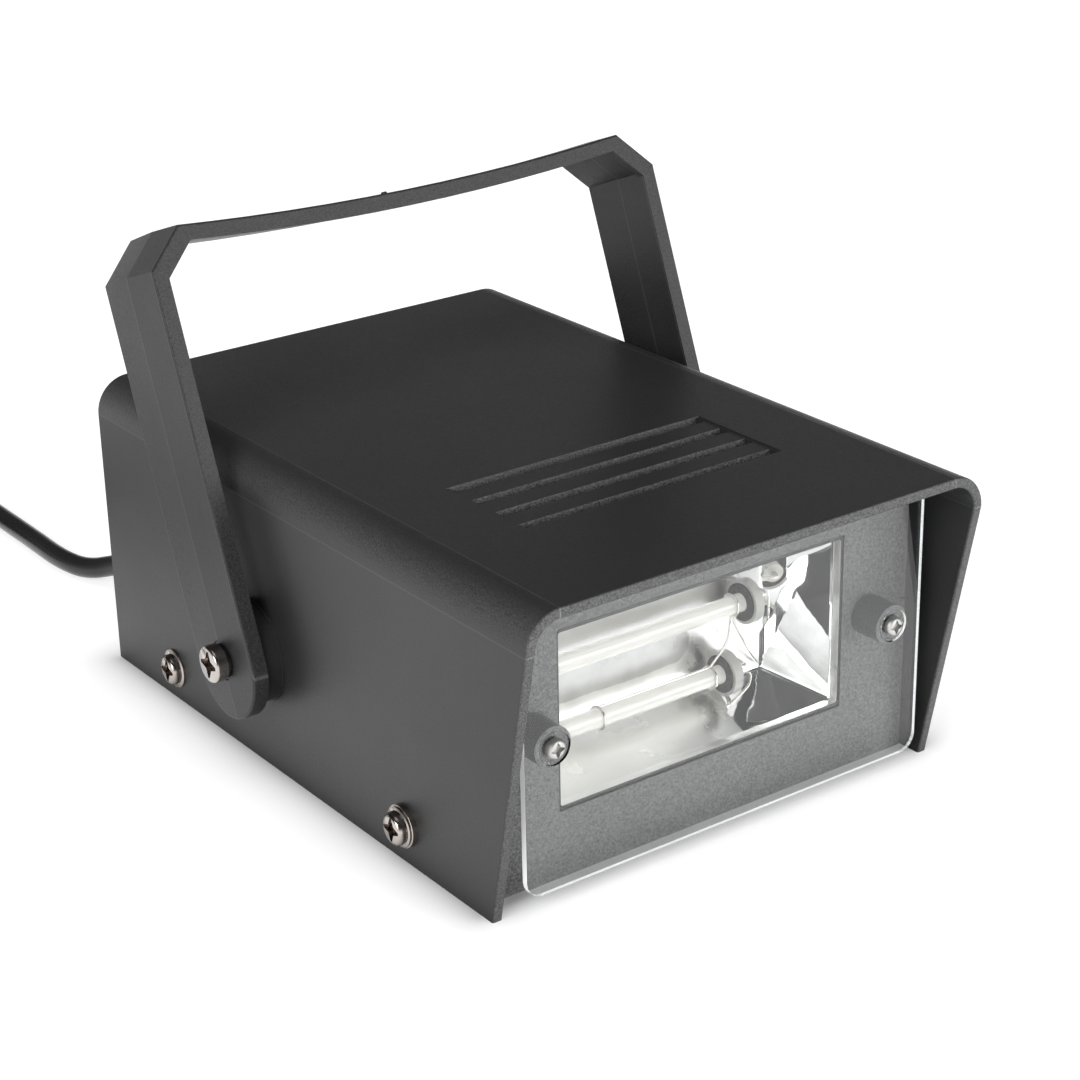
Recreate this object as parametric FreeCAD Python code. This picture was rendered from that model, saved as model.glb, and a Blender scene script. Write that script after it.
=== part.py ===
import FreeCAD, Part
import math
import os

# A small xenon stroboscope: a plastic cover with a hood over a base tray, a clear front plate,
# a U-shaped flash tube in a mirror trough, and a tilting yoke. Millimetres, +Z up, the window
# looks along -Y, and the origin is on the base's underside, below the middle of the housing.

os.makedirs("parts", exist_ok=True)
Vec = FreeCAD.Vector
X_AXIS = Vec(1, 0, 0)
Y_AXIS = Vec(0, 1, 0)
Z_AXIS = Vec(0, 0, 1)

# ---- Housing ----
WIDTH = 120.0
HEIGHT = 72.0
DEPTH = 171.5
COVER_WALL = 2.4
CORNER_RADIUS = 8.3
HOOD_SLANT = 13.3           # how far the hood's sides lean back from top to bottom
EDGE_ROUND = 0.5            # rounding of the moulded edges
BASE_WALL = 2.4
BASE_FIT = 0.2              # gap between the tray and the cover around it
FLANGE_HEIGHT = 19.0        # the tray's low side walls
REAR_WALL_SETBACK = 1.8

# ---- Vents ----
VENT_COUNT = 4
VENT_LENGTH = 67.2
VENT_WIDTH = 3.0
VENT_PITCH = 8.3
VENT_SETBACK = 36.6         # from the hood's front edge to the first slot's middle
VENT_MARGIN = 0.8           # sunk panel beyond the slots' ends
VENT_SINK = 0.25

# ---- Window and lamp ----
WINDOW_SETBACK = 19.8       # from the hood's front edge to the tray's front wall
WINDOW_WIDTH = 77.0
WINDOW_HEIGHT = 41.0
LAMP_HEIGHT = 36.0          # the window's middle above the base
PLATE_SIDE_GAP = 4.3        # between the plate and the cover's side
PLATE_THICKNESS = 1.5
PLATE_BOTTOM = 4.0
PLATE_TOP_GAP = 1.0
PLATE_CORNER = 4.0
BOSS_INSET = 7.6            # from the plate's side edge
BOSS_RADIUS = 4.5
BOSS_HEIGHT = 7.8
PLATE_SINK = 0.6            # recess round each screw in the plate
PLATE_SCREW_RADIUS = 1.3
PLATE_SCREW_DEPTH = 8.0     # its hole in the boss
PLATE_SCREW_SHORT = 0.5     # how much shorter the screw is than its hole
PLATE_HEAD_RADIUS = 2.2
PLATE_HEAD_HEIGHT = 1.6
PLATE_HEAD_AIR = 1.5        # round the head in its recess

REFLECTOR_SHEET = 1.2
REFLECTOR_LIP = 0.3         # how far the mirror's mouth stands outside the window
REFLECTOR_DEPTH = 13.6
REFLECTOR_BACK_WIDTH = 57.8
REFLECTOR_BACK_HEIGHT = 27.8
REFLECTOR_RIM = 6.0
REFLECTOR_PEG_RADIUS = 2.0
REFLECTOR_PEG_INSET = 3.0
REFLECTOR_PEG_AIR = 0.1     # round the peg in the rim's hole
PEG_SHORT = 0.2             # how much lower the peg is than the rim's sheet
PEG_SCREW_RADIUS = 1.1
PEG_SCREW_DEPTH = 2.6
PEG_SCREW_SHORT = 0.3
PEG_HEAD_RADIUS = 2.7
PEG_HEAD_HEIGHT = 1.6

TUBE_RADIUS = 2.1
TUBE_GLASS = 0.7
TUBE_STANDOFF = 5.0         # tube's middle in front of the mirror's back
TUBE_DROP = 1.45            # tube's middle below the window's middle
LEG_SPACING = 15.5
BEND_X = -31.0
UPPER_LEG_END = 18.9
LOWER_LEG_END = 13.3
GROMMET_RADIUS = 4.25
GROMMET_LENGTH = 2.6
GROMMET_PROUD = 0.3
HOLDER_WALL = 0.75
END_SEAL = 1.5              # solid glass at each end of the tube
ELECTRODE_RADIUS = 0.9
ELECTRODE_LENGTH = 7.0
TUBE_TAIL = 2.4             # glass that shows behind the grommet
LEAD_RADIUS = 0.5
LEAD_BEND = 2.6             # from the tube's end to where its lead turns back
LEAD_THROUGH = 4.0          # how far it reaches behind the mirror's face
TRIGGER_RADIUS = 0.3
TRIGGER_THROUGH = 3.0

# ---- Yoke and its pivots ----
PIVOT_Y = 16.6
PIVOT_HEIGHT = 27.6
YOKE_TILT = 21.0            # degrees back from upright, as it stands
YOKE_LENGTH = 94.5
YOKE_WIDTH = 24.9
YOKE_THICKNESS = 3.7
YOKE_RIDGE = 0.3
YOKE_CHAMFER = 8.7
YOKE_BOW = 2.5
YOKE_LIP = 2.2              # full-thickness lip along the front edge
YOKE_SINK = 1.4             # how much thinner the yoke is behind its lip
YOKE_PAD = 1.6              # full thickness beyond the friction disc
YOKE_FOOT_DROP = 1.2        # from the pivot down to the middle of the foot's round end
PIP_RADIUS = 1.2            # moulding mark on top of the crossbar
PIP_HEIGHT = 0.8
SPOT_RADIUS = 4.6           # flat round the pivot screw's washer
DISC_RADIUS = 11.6
DISC_THICKNESS = 4.5
DISC_FLANGE = 0.35          # how far the disc's foot is wider
DISC_FLANGE_THICKNESS = 0.6
PIVOT_GAP = 0.3
PIVOT_SCREW_RADIUS = 2.0
PIVOT_CLEARANCE = 0.06
PIVOT_HEAD_RADIUS = 4.3
PIVOT_HEAD_HEIGHT = 2.8
PIVOT_HEAD_ROUND = 0.6
SPRING_WASHER_RADIUS = 3.9
SPRING_WASHER_THICKNESS = 1.0
SPRING_WASHER_AIR = 0.15    # between the yoke's face and the split washer
PIVOT_NUT_FLATS = 7.0
PIVOT_NUT_HEIGHT = 3.2
PIVOT_SCREW_PROUD = 1.5     # how far the screw stands out of its nut

# ---- Cover screws ----
REAR_SCREW_Y = 56.6
REAR_SCREW_HEIGHT = 7.9
FRONT_SCREW_Y = -41.4
FRONT_SCREW_HEIGHT = 8.9
COVER_SCREW_RADIUS = 1.75
COVER_SCREW_LENGTH = 9.0
COVER_HEAD_RADIUS = 3.7
COVER_HEAD_HEIGHT = 2.4
COVER_HEAD_ROUND = 1.1
REAR_FLANGE_RADIUS = 4.7
FRONT_FLANGE_RADIUS = 4.4
SCREW_FLANGE_THICKNESS = 0.5
WASHER_RADIUS = 4.8
WASHER_THICKNESS = 1.2
SCREW_CLEARANCE = 0.15
SCREW_BOSS_RADIUS = 4.5
SCREW_BOSS_LENGTH = 6.0

# ---- Electronics ----
BOARD_SIDE_GAP = 11.0       # between the board and the tray's side
BOARD_LENGTH = 90.0
BOARD_THICKNESS = 1.6
BOARD_FRONT = -32.0
STANDOFF_HEIGHT = 6.6
STANDOFF_RADIUS = 3.5
STANDOFF_INSET = 4.5
BOARD_SCREW_RADIUS = 1.25
BOARD_HEAD_RADIUS = 2.6
BOARD_HEAD_HEIGHT = 1.8
CAPACITOR_RADIUS = 9.0
CAPACITOR_LENGTH = 34.0
CAPACITOR_GAP = 3.0         # between the two capacitors
SEAT_GAP = 0.1              # air under a round part that lies on the board
TRANSFORMER_WIDTH = 16.0
TRANSFORMER_LENGTH = 14.0
TRANSFORMER_HEIGHT = 13.0
TRANSFORMER_FRONT = 6.0     # from the board's front edge
TRANSFORMER_INSET = 22.0    # its middle, from the board's side edge
WINDING_RADIUS = 6.0
WINDING_PROUD = 0.8
RESISTOR_SIDE = 9.0
RESISTOR_LENGTH = 40.0
RESISTOR_INSET = 14.0       # its middle, from the board's side edge
DIODE_RADIUS = 1.4
DIODE_LENGTH = 6.0
DIODE_PITCH = 5.0
DIODE_INSET = 14.0          # the first one's middle, from the board's side edge
DIODE_FRONT = 16.0          # their middle, from the board's front edge
THYRISTOR_WIDTH = 10.0
THYRISTOR_DEPTH = 4.4
THYRISTOR_HEIGHT = 12.0
THYRISTOR_FRONT = 10.5      # its body's front face, from the board's front edge
THYRISTOR_GAP = 6.0         # between it and the transformer
TAB_THICKNESS = 1.2
TAB_HEIGHT = 19.0
TAB_HOLE_RADIUS = 1.8
FUSE_RADIUS = 2.5
FUSE_LENGTH = 20.0
FUSE_LIFT = 5.0             # its middle above the board
FUSE_X = 14.0
FUSE_SETBACK = 20.0         # its middle, behind the board's middle
CLIP_LENGTH = 4.0
CLIP_WALL = 0.8
CLIP_INSET = 3.0            # the clip's middle, from the fuse's end
TERMINAL_INSET = 14.0       # its middle, from the board's side edge
TERMINAL_BACK = 6.0         # its middle, from the board's rear edge
TERMINAL_PITCH = 5.0
TERMINAL_HEIGHT = 10.0
TERMINAL_DEPTH = 8.0
TERMINAL_HOLE_RADIUS = 1.6
TERMINAL_HOLE_DEPTH = 2.0
WIRE_RADIUS = 0.8

# ---- Speed control ----
KNOB_INSET = 29.4           # from the tray's side
KNOB_HEIGHT = 36.0
KNOB_RADIUS = 9.0
KNOB_LENGTH = 14.0
KNOB_GAP = 1.0
SHAFT_RADIUS = 3.0
SHAFT_CLEARANCE = 0.06
BUSHING_RADIUS = 3.5
BUSHING_LENGTH = 4.5
POT_RADIUS = 8.0
POT_DEPTH = 9.0
POT_NUT_FLATS = 10.0
POT_NUT_HEIGHT = 2.2
POT_WASHER_RADIUS = 6.0
POT_WASHER_THICKNESS = 0.8
LUG_DEPTH = 4.0             # from the wall to the row of lugs
LUG_THICKNESS = 1.0
LUG_DROP = 13.0             # from the shaft down to the lugs' ends
LUG_PITCH = 4.0

# ---- Mains lead ----
LEAD_INSET = 19.4           # from the tray's side
LEAD_HEIGHT = 9.2
CORD_RADIUS = 2.75
RELIEF_LENGTH = 20.0
RELIEF_RADIUS = 5.5
RELIEF_NOSE_RADIUS = 3.7
RELIEF_NECK_RADIUS = 5.0
RELIEF_FLANGE_RADIUS = 6.5
RELIEF_FLANGE_THICKNESS = 2.0
CORD_STRAIGHT = 10.05       # straight behind the sleeve
CORD_ROUTE = [
    (-39.6, 124.2, 6.1),
    (-44.4, 133.4, CORD_RADIUS),
    (-46.7, 144.8, CORD_RADIUS),
    (-46.3, 160.0, CORD_RADIUS),
]
COIL_CENTRE_X = -82.8
COIL_CENTRE_Y = 210.0
COIL_MEAN_RADIUS = 31.0
COIL_ROWS = 3               # turns side by side in the lower layer
COIL_LIFT = 0.7
TIE_WIDTH = 4.0
TIE_THICKNESS = 0.6
PLUG_WIDTH = 34.0
PLUG_THICKNESS = 13.6
PLUG_LENGTH = 33.0
PLUG_TAIL_LENGTH = 14.0
PLUG_TAIL_RADIUS = 4.2
PLUG_BACK_Y = 172.0         # where the lead enters the plug
PIN_RADIUS = 2.0
PIN_LENGTH = 19.0
PIN_SPACING = 18.6

# ---- Planes and places that follow from the sizes above ----
FRONT_Y = -DEPTH / 2
REAR_Y = DEPTH / 2
COVER_INSIDE_X = WIDTH / 2 - COVER_WALL
COVER_INSIDE_TOP = HEIGHT - COVER_WALL
TRAY_X = COVER_INSIDE_X - BASE_FIT
PLATE_X = COVER_INSIDE_X - PLATE_SIDE_GAP
BOSS_X = PLATE_X - BOSS_INSET
BOARD_X = TRAY_X - BASE_WALL - BOARD_SIDE_GAP
KNOB_X = TRAY_X - KNOB_INSET
LEAD_X = LEAD_INSET - TRAY_X
WALL_FACE_Y = FRONT_Y + WINDOW_SETBACK
WALL_BACK_Y = WALL_FACE_Y + BASE_WALL
REAR_WALL_Y = REAR_Y - REAR_WALL_SETBACK
PLATE_BACK_Y = WALL_FACE_Y - BOSS_HEIGHT
PLATE_FACE_Y = PLATE_BACK_Y - PLATE_THICKNESS
MIRROR_BACK_Y = WALL_BACK_Y + REFLECTOR_DEPTH
TUBE_Y = MIRROR_BACK_Y - TUBE_STANDOFF
UPPER_LEG_Z = LAMP_HEIGHT - TUBE_DROP + LEG_SPACING / 2
LOWER_LEG_Z = LAMP_HEIGHT - TUBE_DROP - LEG_SPACING / 2
LEG_ENDS = [(UPPER_LEG_END, UPPER_LEG_Z), (LOWER_LEG_END, LOWER_LEG_Z)]
YOKE_INNER_X = WIDTH / 2 + DISC_THICKNESS + PIVOT_GAP
YOKE_OUTER_X = YOKE_INNER_X + YOKE_THICKNESS
BOARD_TOP = BASE_WALL + STANDOFF_HEIGHT + BOARD_THICKNESS
RELIEF_END_Y = REAR_WALL_Y + RELIEF_LENGTH
COIL_LAYER = CORD_RADIUS * math.sqrt(3)
COVER_SCREW_PLACES = [(REAR_SCREW_Y, REAR_SCREW_HEIGHT), (FRONT_SCREW_Y, FRONT_SCREW_HEIGHT)]


# ---- Shapes ----
def box(x0, x1, y0, y1, z0, z1):
    return Part.makeBox(x1 - x0, y1 - y0, z1 - z0, Vec(x0, y0, z0))


def rod(radius, length, start, axis):
    return Part.makeCylinder(radius, length, Vec(*start), axis)


def ring(outer, inner, length, start, axis):
    return rod(outer, length, start, axis).cut(rod(inner, length, start, axis))


def mirrored(shape):
    """The shape again on the other side of the housing's middle plane."""
    return shape.mirror(Vec(0, 0, 0), X_AXIS)


def pair(shape):
    return Part.makeCompound([shape, mirrored(shape)])


def rounded_plate(half_width, bottom, top, radius, y0, y1, bottom_radius=0.0):
    """A slab across Y, its upper corners rounded, and its lower ones if they have a radius."""
    slab = box(-half_width, half_width, y0, y1, bottom, top)
    upper = [e for e in slab.Edges if along(e, Y_AXIS) and e.CenterOfMass.z > top - 0.01]
    slab = slab.makeFillet(radius, upper)
    if bottom_radius > 0:
        lower = [e for e in slab.Edges if along(e, Y_AXIS) and e.CenterOfMass.z < bottom + 0.01]
        slab = slab.makeFillet(bottom_radius, lower)
    return slab


def along(edge, axis):
    """Whether an edge is a straight one in that direction."""
    run = edge.Vertexes[-1].Point - edge.Vertexes[0].Point
    return run.Length > 0.01 and abs(run.normalize().dot(axis)) > 0.999


def prism(points, axis_length):
    """A solid pushed along X from an outline of (y, z) points, centred on the middle plane."""
    outline = [Vec(-axis_length / 2, y, z) for y, z in points]
    face = Part.Face(Part.makePolygon(outline + outline[:1]))
    return face.extrude(Vec(axis_length, 0, 0))


def smooth_path(points):
    """Straight runs joined by tangent arcs, each as large as its two runs allow."""
    points = [Vec(*p) for p in points]
    edges = []
    radii = []
    start = points[0]
    for before, corner, after in zip(points, points[1:], points[2:]):
        back = (before - corner).normalize()
        ahead = (after - corner).normalize()
        half_turn = (math.pi - back.getAngle(ahead)) / 2
        reach = 0.45 * min((before - corner).Length, (after - corner).Length)
        radius = reach / math.tan(half_turn)
        first = corner + back * reach
        last = corner + ahead * reach
        middle = (back + ahead).normalize()
        centre = corner + middle * (radius / math.cos(half_turn))
        edges.append(Part.LineSegment(start, first).toShape())
        edges.append(Part.Arc(first, centre - middle * radius, last).toShape())
        radii.append(radius)
        start = last
    edges.append(Part.LineSegment(start, points[-1]).toShape())
    return Part.Wire(edges), radii


def swept(path, radius, start, direction):
    """A round wire or tube along a path."""
    section = Part.Wire(Part.makeCircle(radius, start, direction))
    return path.makePipeShell([section], True, True)


def lead(points, radius, report=""):
    path, radii = smooth_path(points)
    first = Vec(*points[0])
    solid = swept(path, radius, first, Vec(*points[1]) - first)
    if report:
        share = solid.Volume / (math.pi * radius ** 2 * path.Length)
        print(report, "length", round(path.Length, 1), "volume share", round(share, 4))
        print(report, "radii", [round(r, 1) for r in radii])
    return solid


def cross_recess(radius, top, depth):
    """The recess of a cross-slot head: four wings that narrow outward from a wide middle."""
    reach = radius * 0.74
    tip = radius * 0.08
    root = radius * 0.26
    outline = []
    for k in range(4):
        turn = FreeCAD.Rotation(Z_AXIS, 90 * k)
        outline += [turn.multVec(Vec(x, y, 0)) for x, y in ((reach, -tip), (reach, tip), (root, root))]
    face = Part.Face(Part.makePolygon(outline + outline[:1]))
    recess = face.extrude(Vec(0, 0, depth + 1))
    recess.translate(Vec(0, 0, top - depth))
    return recess


def cross_screw(head_radius, head_height, rounding, shank_radius, length, flange_radius=0.0):
    """A cross-slot screw: its head stands on the plane z = 0 and its shank runs down -Z."""
    head = Part.makeCylinder(head_radius, head_height)
    rim = [e for e in head.Edges if e.Closed and e.CenterOfMass.z > head_height - 0.01]
    head = head.makeFillet(rounding, rim)
    if flange_radius > 0:
        head = head.fuse(Part.makeCylinder(flange_radius, SCREW_FLANGE_THICKNESS))
    shank = Part.makeCylinder(shank_radius, length, Vec(0, 0, -length))
    head = head.cut(cross_recess(head_radius, head_height, head_height * 0.6))
    return head.fuse(shank).removeSplitter()


def aimed(shape, axis, place):
    """Turns a shape built along +Z to face along axis, and puts it at its place."""
    shape = shape.copy()
    turn = FreeCAD.Rotation(Z_AXIS, axis)
    shape.Placement = FreeCAD.Placement(Vec(*place), turn)
    return shape


def nut(flats, height, bore, start, axis):
    """A hexagonal nut, its size measured across the flats."""
    reach = flats / math.sqrt(3)
    corners = [Vec(reach * math.cos(a), reach * math.sin(a), 0)
               for a in (math.radians(60 * k) for k in range(6))]
    block = Part.Face(Part.makePolygon(corners + corners[:1])).extrude(Vec(0, 0, height))
    block = block.cut(Part.makeCylinder(bore, height))
    return aimed(block, axis, start)


parts = {}


# ---- Cover: top, sides and hood in one moulding ----
def vent_middles():
    first = FRONT_Y + VENT_SETBACK
    return [first + VENT_PITCH * k for k in range(VENT_COUNT)]


def vent_slots(z0, z1):
    slots = [box(-VENT_LENGTH / 2, VENT_LENGTH / 2, y - VENT_WIDTH / 2, y + VENT_WIDTH / 2, z0, z1)
             for y in vent_middles()]
    return Part.makeCompound(slots)


def side_holes(radius, y, z):
    return rod(radius, WIDTH + 2, (-WIDTH / 2 - 1, y, z), X_AXIS)


def top_cover():
    outside = rounded_plate(WIDTH / 2, 0, HEIGHT, CORNER_RADIUS, FRONT_Y, REAR_Y)
    inside = rounded_plate(COVER_INSIDE_X, -1, COVER_INSIDE_TOP, CORNER_RADIUS - COVER_WALL,
                           FRONT_Y - 1, REAR_Y + 1)
    slant_top = HEIGHT - CORNER_RADIUS
    slant = prism([(FRONT_Y - 1, slant_top), (FRONT_Y, slant_top), (FRONT_Y + HOOD_SLANT, 0),
                   (FRONT_Y + HOOD_SLANT, -1), (FRONT_Y - 1, -1)], WIDTH + 2)
    shell = outside.cut(inside).cut(slant)
    front_edges = [e for e in shell.Edges if e.BoundBox.YMax < FRONT_Y + HOOD_SLANT + 0.01
                   and not along(e, X_AXIS) or along(e, X_AXIS) and e.BoundBox.YMax < FRONT_Y + 0.01]
    front_edges = [e for e in front_edges if e.BoundBox.ZMax > 0.01]
    shell = shell.makeFillet(EDGE_ROUND, front_edges)
    first, last = vent_middles()[0], vent_middles()[-1]
    reach = VENT_WIDTH / 2
    panel = box(-VENT_LENGTH / 2 - VENT_MARGIN, VENT_LENGTH / 2 + VENT_MARGIN,
                first - reach, last + reach, HEIGHT - VENT_SINK, HEIGHT + 1)
    shell = shell.cut(panel).cut(vent_slots(COVER_INSIDE_TOP - 1, HEIGHT + 1))
    for y, z in COVER_SCREW_PLACES:
        shell = shell.cut(side_holes(COVER_SCREW_RADIUS + SCREW_CLEARANCE, y, z))
    return shell.cut(side_holes(PIVOT_SCREW_RADIUS + SCREW_CLEARANCE, PIVOT_Y, PIVOT_HEIGHT))


parts["top_cover"] = top_cover()


# ---- Base tray: floor, front wall with the window, rear wall and low sides ----
def window_opening(margin, y0, y1):
    return box(-WINDOW_WIDTH / 2 - margin, WINDOW_WIDTH / 2 + margin, y0, y1,
               LAMP_HEIGHT - WINDOW_HEIGHT / 2 - margin, LAMP_HEIGHT + WINDOW_HEIGHT / 2 + margin)


def reflector_pegs():
    """Places (x, z) of the pegs that locate the reflector's rim."""
    across = WINDOW_WIDTH / 2 + REFLECTOR_LIP + REFLECTOR_RIM - REFLECTOR_PEG_INSET
    up = WINDOW_HEIGHT / 2 + REFLECTOR_LIP + REFLECTOR_RIM - REFLECTOR_PEG_INSET
    return [(sx * across, LAMP_HEIGHT + sz * up) for sx in (-1, 1) for sz in (-1, 1)]


def board_corners():
    across = BOARD_X - STANDOFF_INSET
    near = BOARD_FRONT + STANDOFF_INSET
    far = BOARD_FRONT + BOARD_LENGTH - STANDOFF_INSET
    return [(sx * across, y) for sx in (-1, 1) for y in (near, far)]


def base_tray():
    inner_radius = CORNER_RADIUS - COVER_WALL - BASE_FIT
    top = COVER_INSIDE_TOP - BASE_FIT
    floor = box(-TRAY_X, TRAY_X, WALL_FACE_Y, REAR_WALL_Y, 0, BASE_WALL)
    front = rounded_plate(TRAY_X, 0, top, inner_radius, WALL_FACE_Y, WALL_BACK_Y)
    rear = rounded_plate(TRAY_X, 0, top, inner_radius, REAR_WALL_Y - BASE_WALL, REAR_WALL_Y)
    side = box(TRAY_X - BASE_WALL, TRAY_X, WALL_FACE_Y, REAR_WALL_Y, 0, FLANGE_HEIGHT)
    tray = floor.fuse([front, rear, side, mirrored(side)])
    tray = tray.cut(window_opening(0, WALL_FACE_Y - 1, WALL_BACK_Y + 1))
    for y, z in COVER_SCREW_PLACES:
        boss = rod(SCREW_BOSS_RADIUS, SCREW_BOSS_LENGTH, (TRAY_X, y, z), -X_AXIS)
        tray = tray.fuse([boss, mirrored(boss)])
        tray = tray.cut(side_holes(COVER_SCREW_RADIUS, y, z))
    front_boss = rod(BOSS_RADIUS, BOSS_HEIGHT, (BOSS_X, WALL_FACE_Y, LAMP_HEIGHT), -Y_AXIS)
    tray = tray.fuse([front_boss, mirrored(front_boss)])
    pilot = rod(PLATE_SCREW_RADIUS, PLATE_SCREW_DEPTH, (BOSS_X, PLATE_BACK_Y, LAMP_HEIGHT), Y_AXIS)
    tray = tray.cut(pair(pilot))
    peg_height = REFLECTOR_SHEET - PEG_SHORT
    for x, z in reflector_pegs():
        tray = tray.fuse(rod(REFLECTOR_PEG_RADIUS, peg_height, (x, WALL_BACK_Y, z), Y_AXIS))
        pilot = rod(PEG_SCREW_RADIUS, PEG_SCREW_DEPTH, (x, WALL_BACK_Y + peg_height, z), -Y_AXIS)
        tray = tray.cut(pilot)
    for x, y in board_corners():
        tray = tray.fuse(rod(STANDOFF_RADIUS, STANDOFF_HEIGHT, (x, y, BASE_WALL), Z_AXIS))
        tray = tray.cut(rod(BOARD_SCREW_RADIUS, STANDOFF_HEIGHT, (x, y, BASE_WALL), Z_AXIS))
    tray = tray.cut(vent_slots(-1, BASE_WALL + 1))
    tray = tray.cut(rod(BUSHING_RADIUS + SCREW_CLEARANCE, 2 * BASE_WALL + 2,
                        (KNOB_X, REAR_WALL_Y - 2 * BASE_WALL, KNOB_HEIGHT), Y_AXIS))
    tray = tray.cut(rod(RELIEF_NECK_RADIUS, 2 * BASE_WALL + 2,
                        (LEAD_X, REAR_WALL_Y - 2 * BASE_WALL, LEAD_HEIGHT), Y_AXIS))
    return tray.removeSplitter()


parts["base_tray"] = base_tray()


# ---- Clear plate in front of the window, and its two screws ----
def clear_window():
    plate = rounded_plate(PLATE_X, PLATE_BOTTOM, COVER_INSIDE_TOP - PLATE_TOP_GAP, PLATE_CORNER,
                          PLATE_FACE_Y, PLATE_BACK_Y, PLATE_CORNER)
    start = (BOSS_X, PLATE_FACE_Y - 1, LAMP_HEIGHT)
    hole = rod(PLATE_SCREW_RADIUS + SCREW_CLEARANCE, PLATE_THICKNESS + 2, start, Y_AXIS)
    sink = rod(PLATE_HEAD_RADIUS + PLATE_HEAD_AIR, PLATE_SINK + 1, start, Y_AXIS)
    return plate.cut(pair(hole)).cut(pair(sink))


parts["clear_window"] = clear_window()
plate_screw_length = PLATE_THICKNESS - PLATE_SINK + PLATE_SCREW_DEPTH - PLATE_SCREW_SHORT
plate_screw = cross_screw(PLATE_HEAD_RADIUS, PLATE_HEAD_HEIGHT, 0.62 * PLATE_HEAD_HEIGHT,
                          PLATE_SCREW_RADIUS, plate_screw_length)
parts["window_screws"] = pair(aimed(plate_screw, -Y_AXIS,
                                    (BOSS_X, PLATE_FACE_Y + PLATE_SINK, LAMP_HEIGHT)))


# ---- Mirror reflector behind the window ----
def tapered_block(y0, half_width0, half_height0, y1, half_width1, half_height1):
    """A block whose cross-section narrows along Y, about the lamp's height."""
    wires = []
    for y, w, h in ((y0, half_width0, half_height0), (y1, half_width1, half_height1)):
        signs = ((-1, -1), (1, -1), (1, 1), (-1, 1))
        corners = [Vec(sx * w, y, LAMP_HEIGHT + sz * h) for sx, sz in signs]
        wires.append(Part.makePolygon(corners + corners[:1]))
    return Part.makeLoft(wires, True, True)


def bend_slot():
    """The slot in the mirror's left end that the tube's bend passes through."""
    gap = TUBE_RADIUS + 0.6
    return box(-WINDOW_WIDTH, -REFLECTOR_BACK_WIDTH / 2 + 1, TUBE_Y - gap, TUBE_Y + gap,
               LOWER_LEG_Z - gap, UPPER_LEG_Z + gap)


def lead_holes():
    """Places (x, z) of the holes for the two tube leads and for the trigger wire."""
    places = [(end + GROMMET_LENGTH + TUBE_TAIL + LEAD_BEND, z) for end, z in LEG_ENDS]
    corner_x = REFLECTOR_BACK_WIDTH / 2 - 1.6
    return places + [(corner_x, LAMP_HEIGHT - REFLECTOR_BACK_HEIGHT / 2 + 1.8)]


def reflector():
    mouth_width = WINDOW_WIDTH / 2 + REFLECTOR_LIP
    mouth_height = WINDOW_HEIGHT / 2 + REFLECTOR_LIP
    back_width = REFLECTOR_BACK_WIDTH / 2
    back_height = REFLECTOR_BACK_HEIGHT / 2
    sheet = REFLECTOR_SHEET
    outside = tapered_block(WALL_BACK_Y, mouth_width + sheet, mouth_height + sheet,
                            MIRROR_BACK_Y + sheet, back_width + sheet, back_height + sheet)
    inside = tapered_block(WALL_BACK_Y, mouth_width, mouth_height,
                           MIRROR_BACK_Y, back_width, back_height)
    rim_width = mouth_width + REFLECTOR_RIM
    rim_height = mouth_height + REFLECTOR_RIM
    rim = box(-rim_width, rim_width, WALL_BACK_Y, WALL_BACK_Y + sheet,
              LAMP_HEIGHT - rim_height, LAMP_HEIGHT + rim_height)
    bowl = outside.fuse(rim).cut(inside).cut(bend_slot())
    for x, z in reflector_pegs():
        bowl = bowl.cut(rod(REFLECTOR_PEG_RADIUS + REFLECTOR_PEG_AIR, 4, (x, WALL_BACK_Y - 1, z), Y_AXIS))
    for x, z in lead_holes():
        bowl = bowl.cut(rod(LEAD_RADIUS + 0.3, 6, (x, MIRROR_BACK_Y - 3, z), Y_AXIS))
    return bowl.removeSplitter()


parts["reflector"] = reflector()
peg_screw_length = PEG_SHORT + PEG_SCREW_DEPTH - PEG_SCREW_SHORT
peg_screw = cross_screw(PEG_HEAD_RADIUS, PEG_HEAD_HEIGHT, 0.62 * PEG_HEAD_HEIGHT,
                        PEG_SCREW_RADIUS, peg_screw_length)
parts["reflector_screws"] = Part.makeCompound([
    aimed(peg_screw, Y_AXIS, (x, WALL_BACK_Y + REFLECTOR_SHEET, z)) for x, z in reflector_pegs()])


# ---- Flash tube: a U of glass with its ends in rubber grommets ----
def tube_solid(radius, short):
    """The U's round bar of that radius, its two ends cut short by that much."""
    tail = GROMMET_LENGTH + TUBE_TAIL - short
    upper_end = Vec(UPPER_LEG_END + tail, TUBE_Y, UPPER_LEG_Z)
    upper_bend = Vec(BEND_X, TUBE_Y, UPPER_LEG_Z)
    nose = Vec(BEND_X - LEG_SPACING / 2, TUBE_Y, (UPPER_LEG_Z + LOWER_LEG_Z) / 2)
    lower_bend = Vec(BEND_X, TUBE_Y, LOWER_LEG_Z)
    lower_end = Vec(LOWER_LEG_END + tail, TUBE_Y, LOWER_LEG_Z)
    path = Part.Wire([Part.LineSegment(upper_end, upper_bend).toShape(),
                      Part.Arc(upper_bend, nose, lower_bend).toShape(),
                      Part.LineSegment(lower_bend, lower_end).toShape()])
    return swept(path, radius, upper_end, -X_AXIS)


parts["flash_tube"] = tube_solid(TUBE_RADIUS, 0).cut(tube_solid(TUBE_RADIUS - TUBE_GLASS, END_SEAL))


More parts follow.
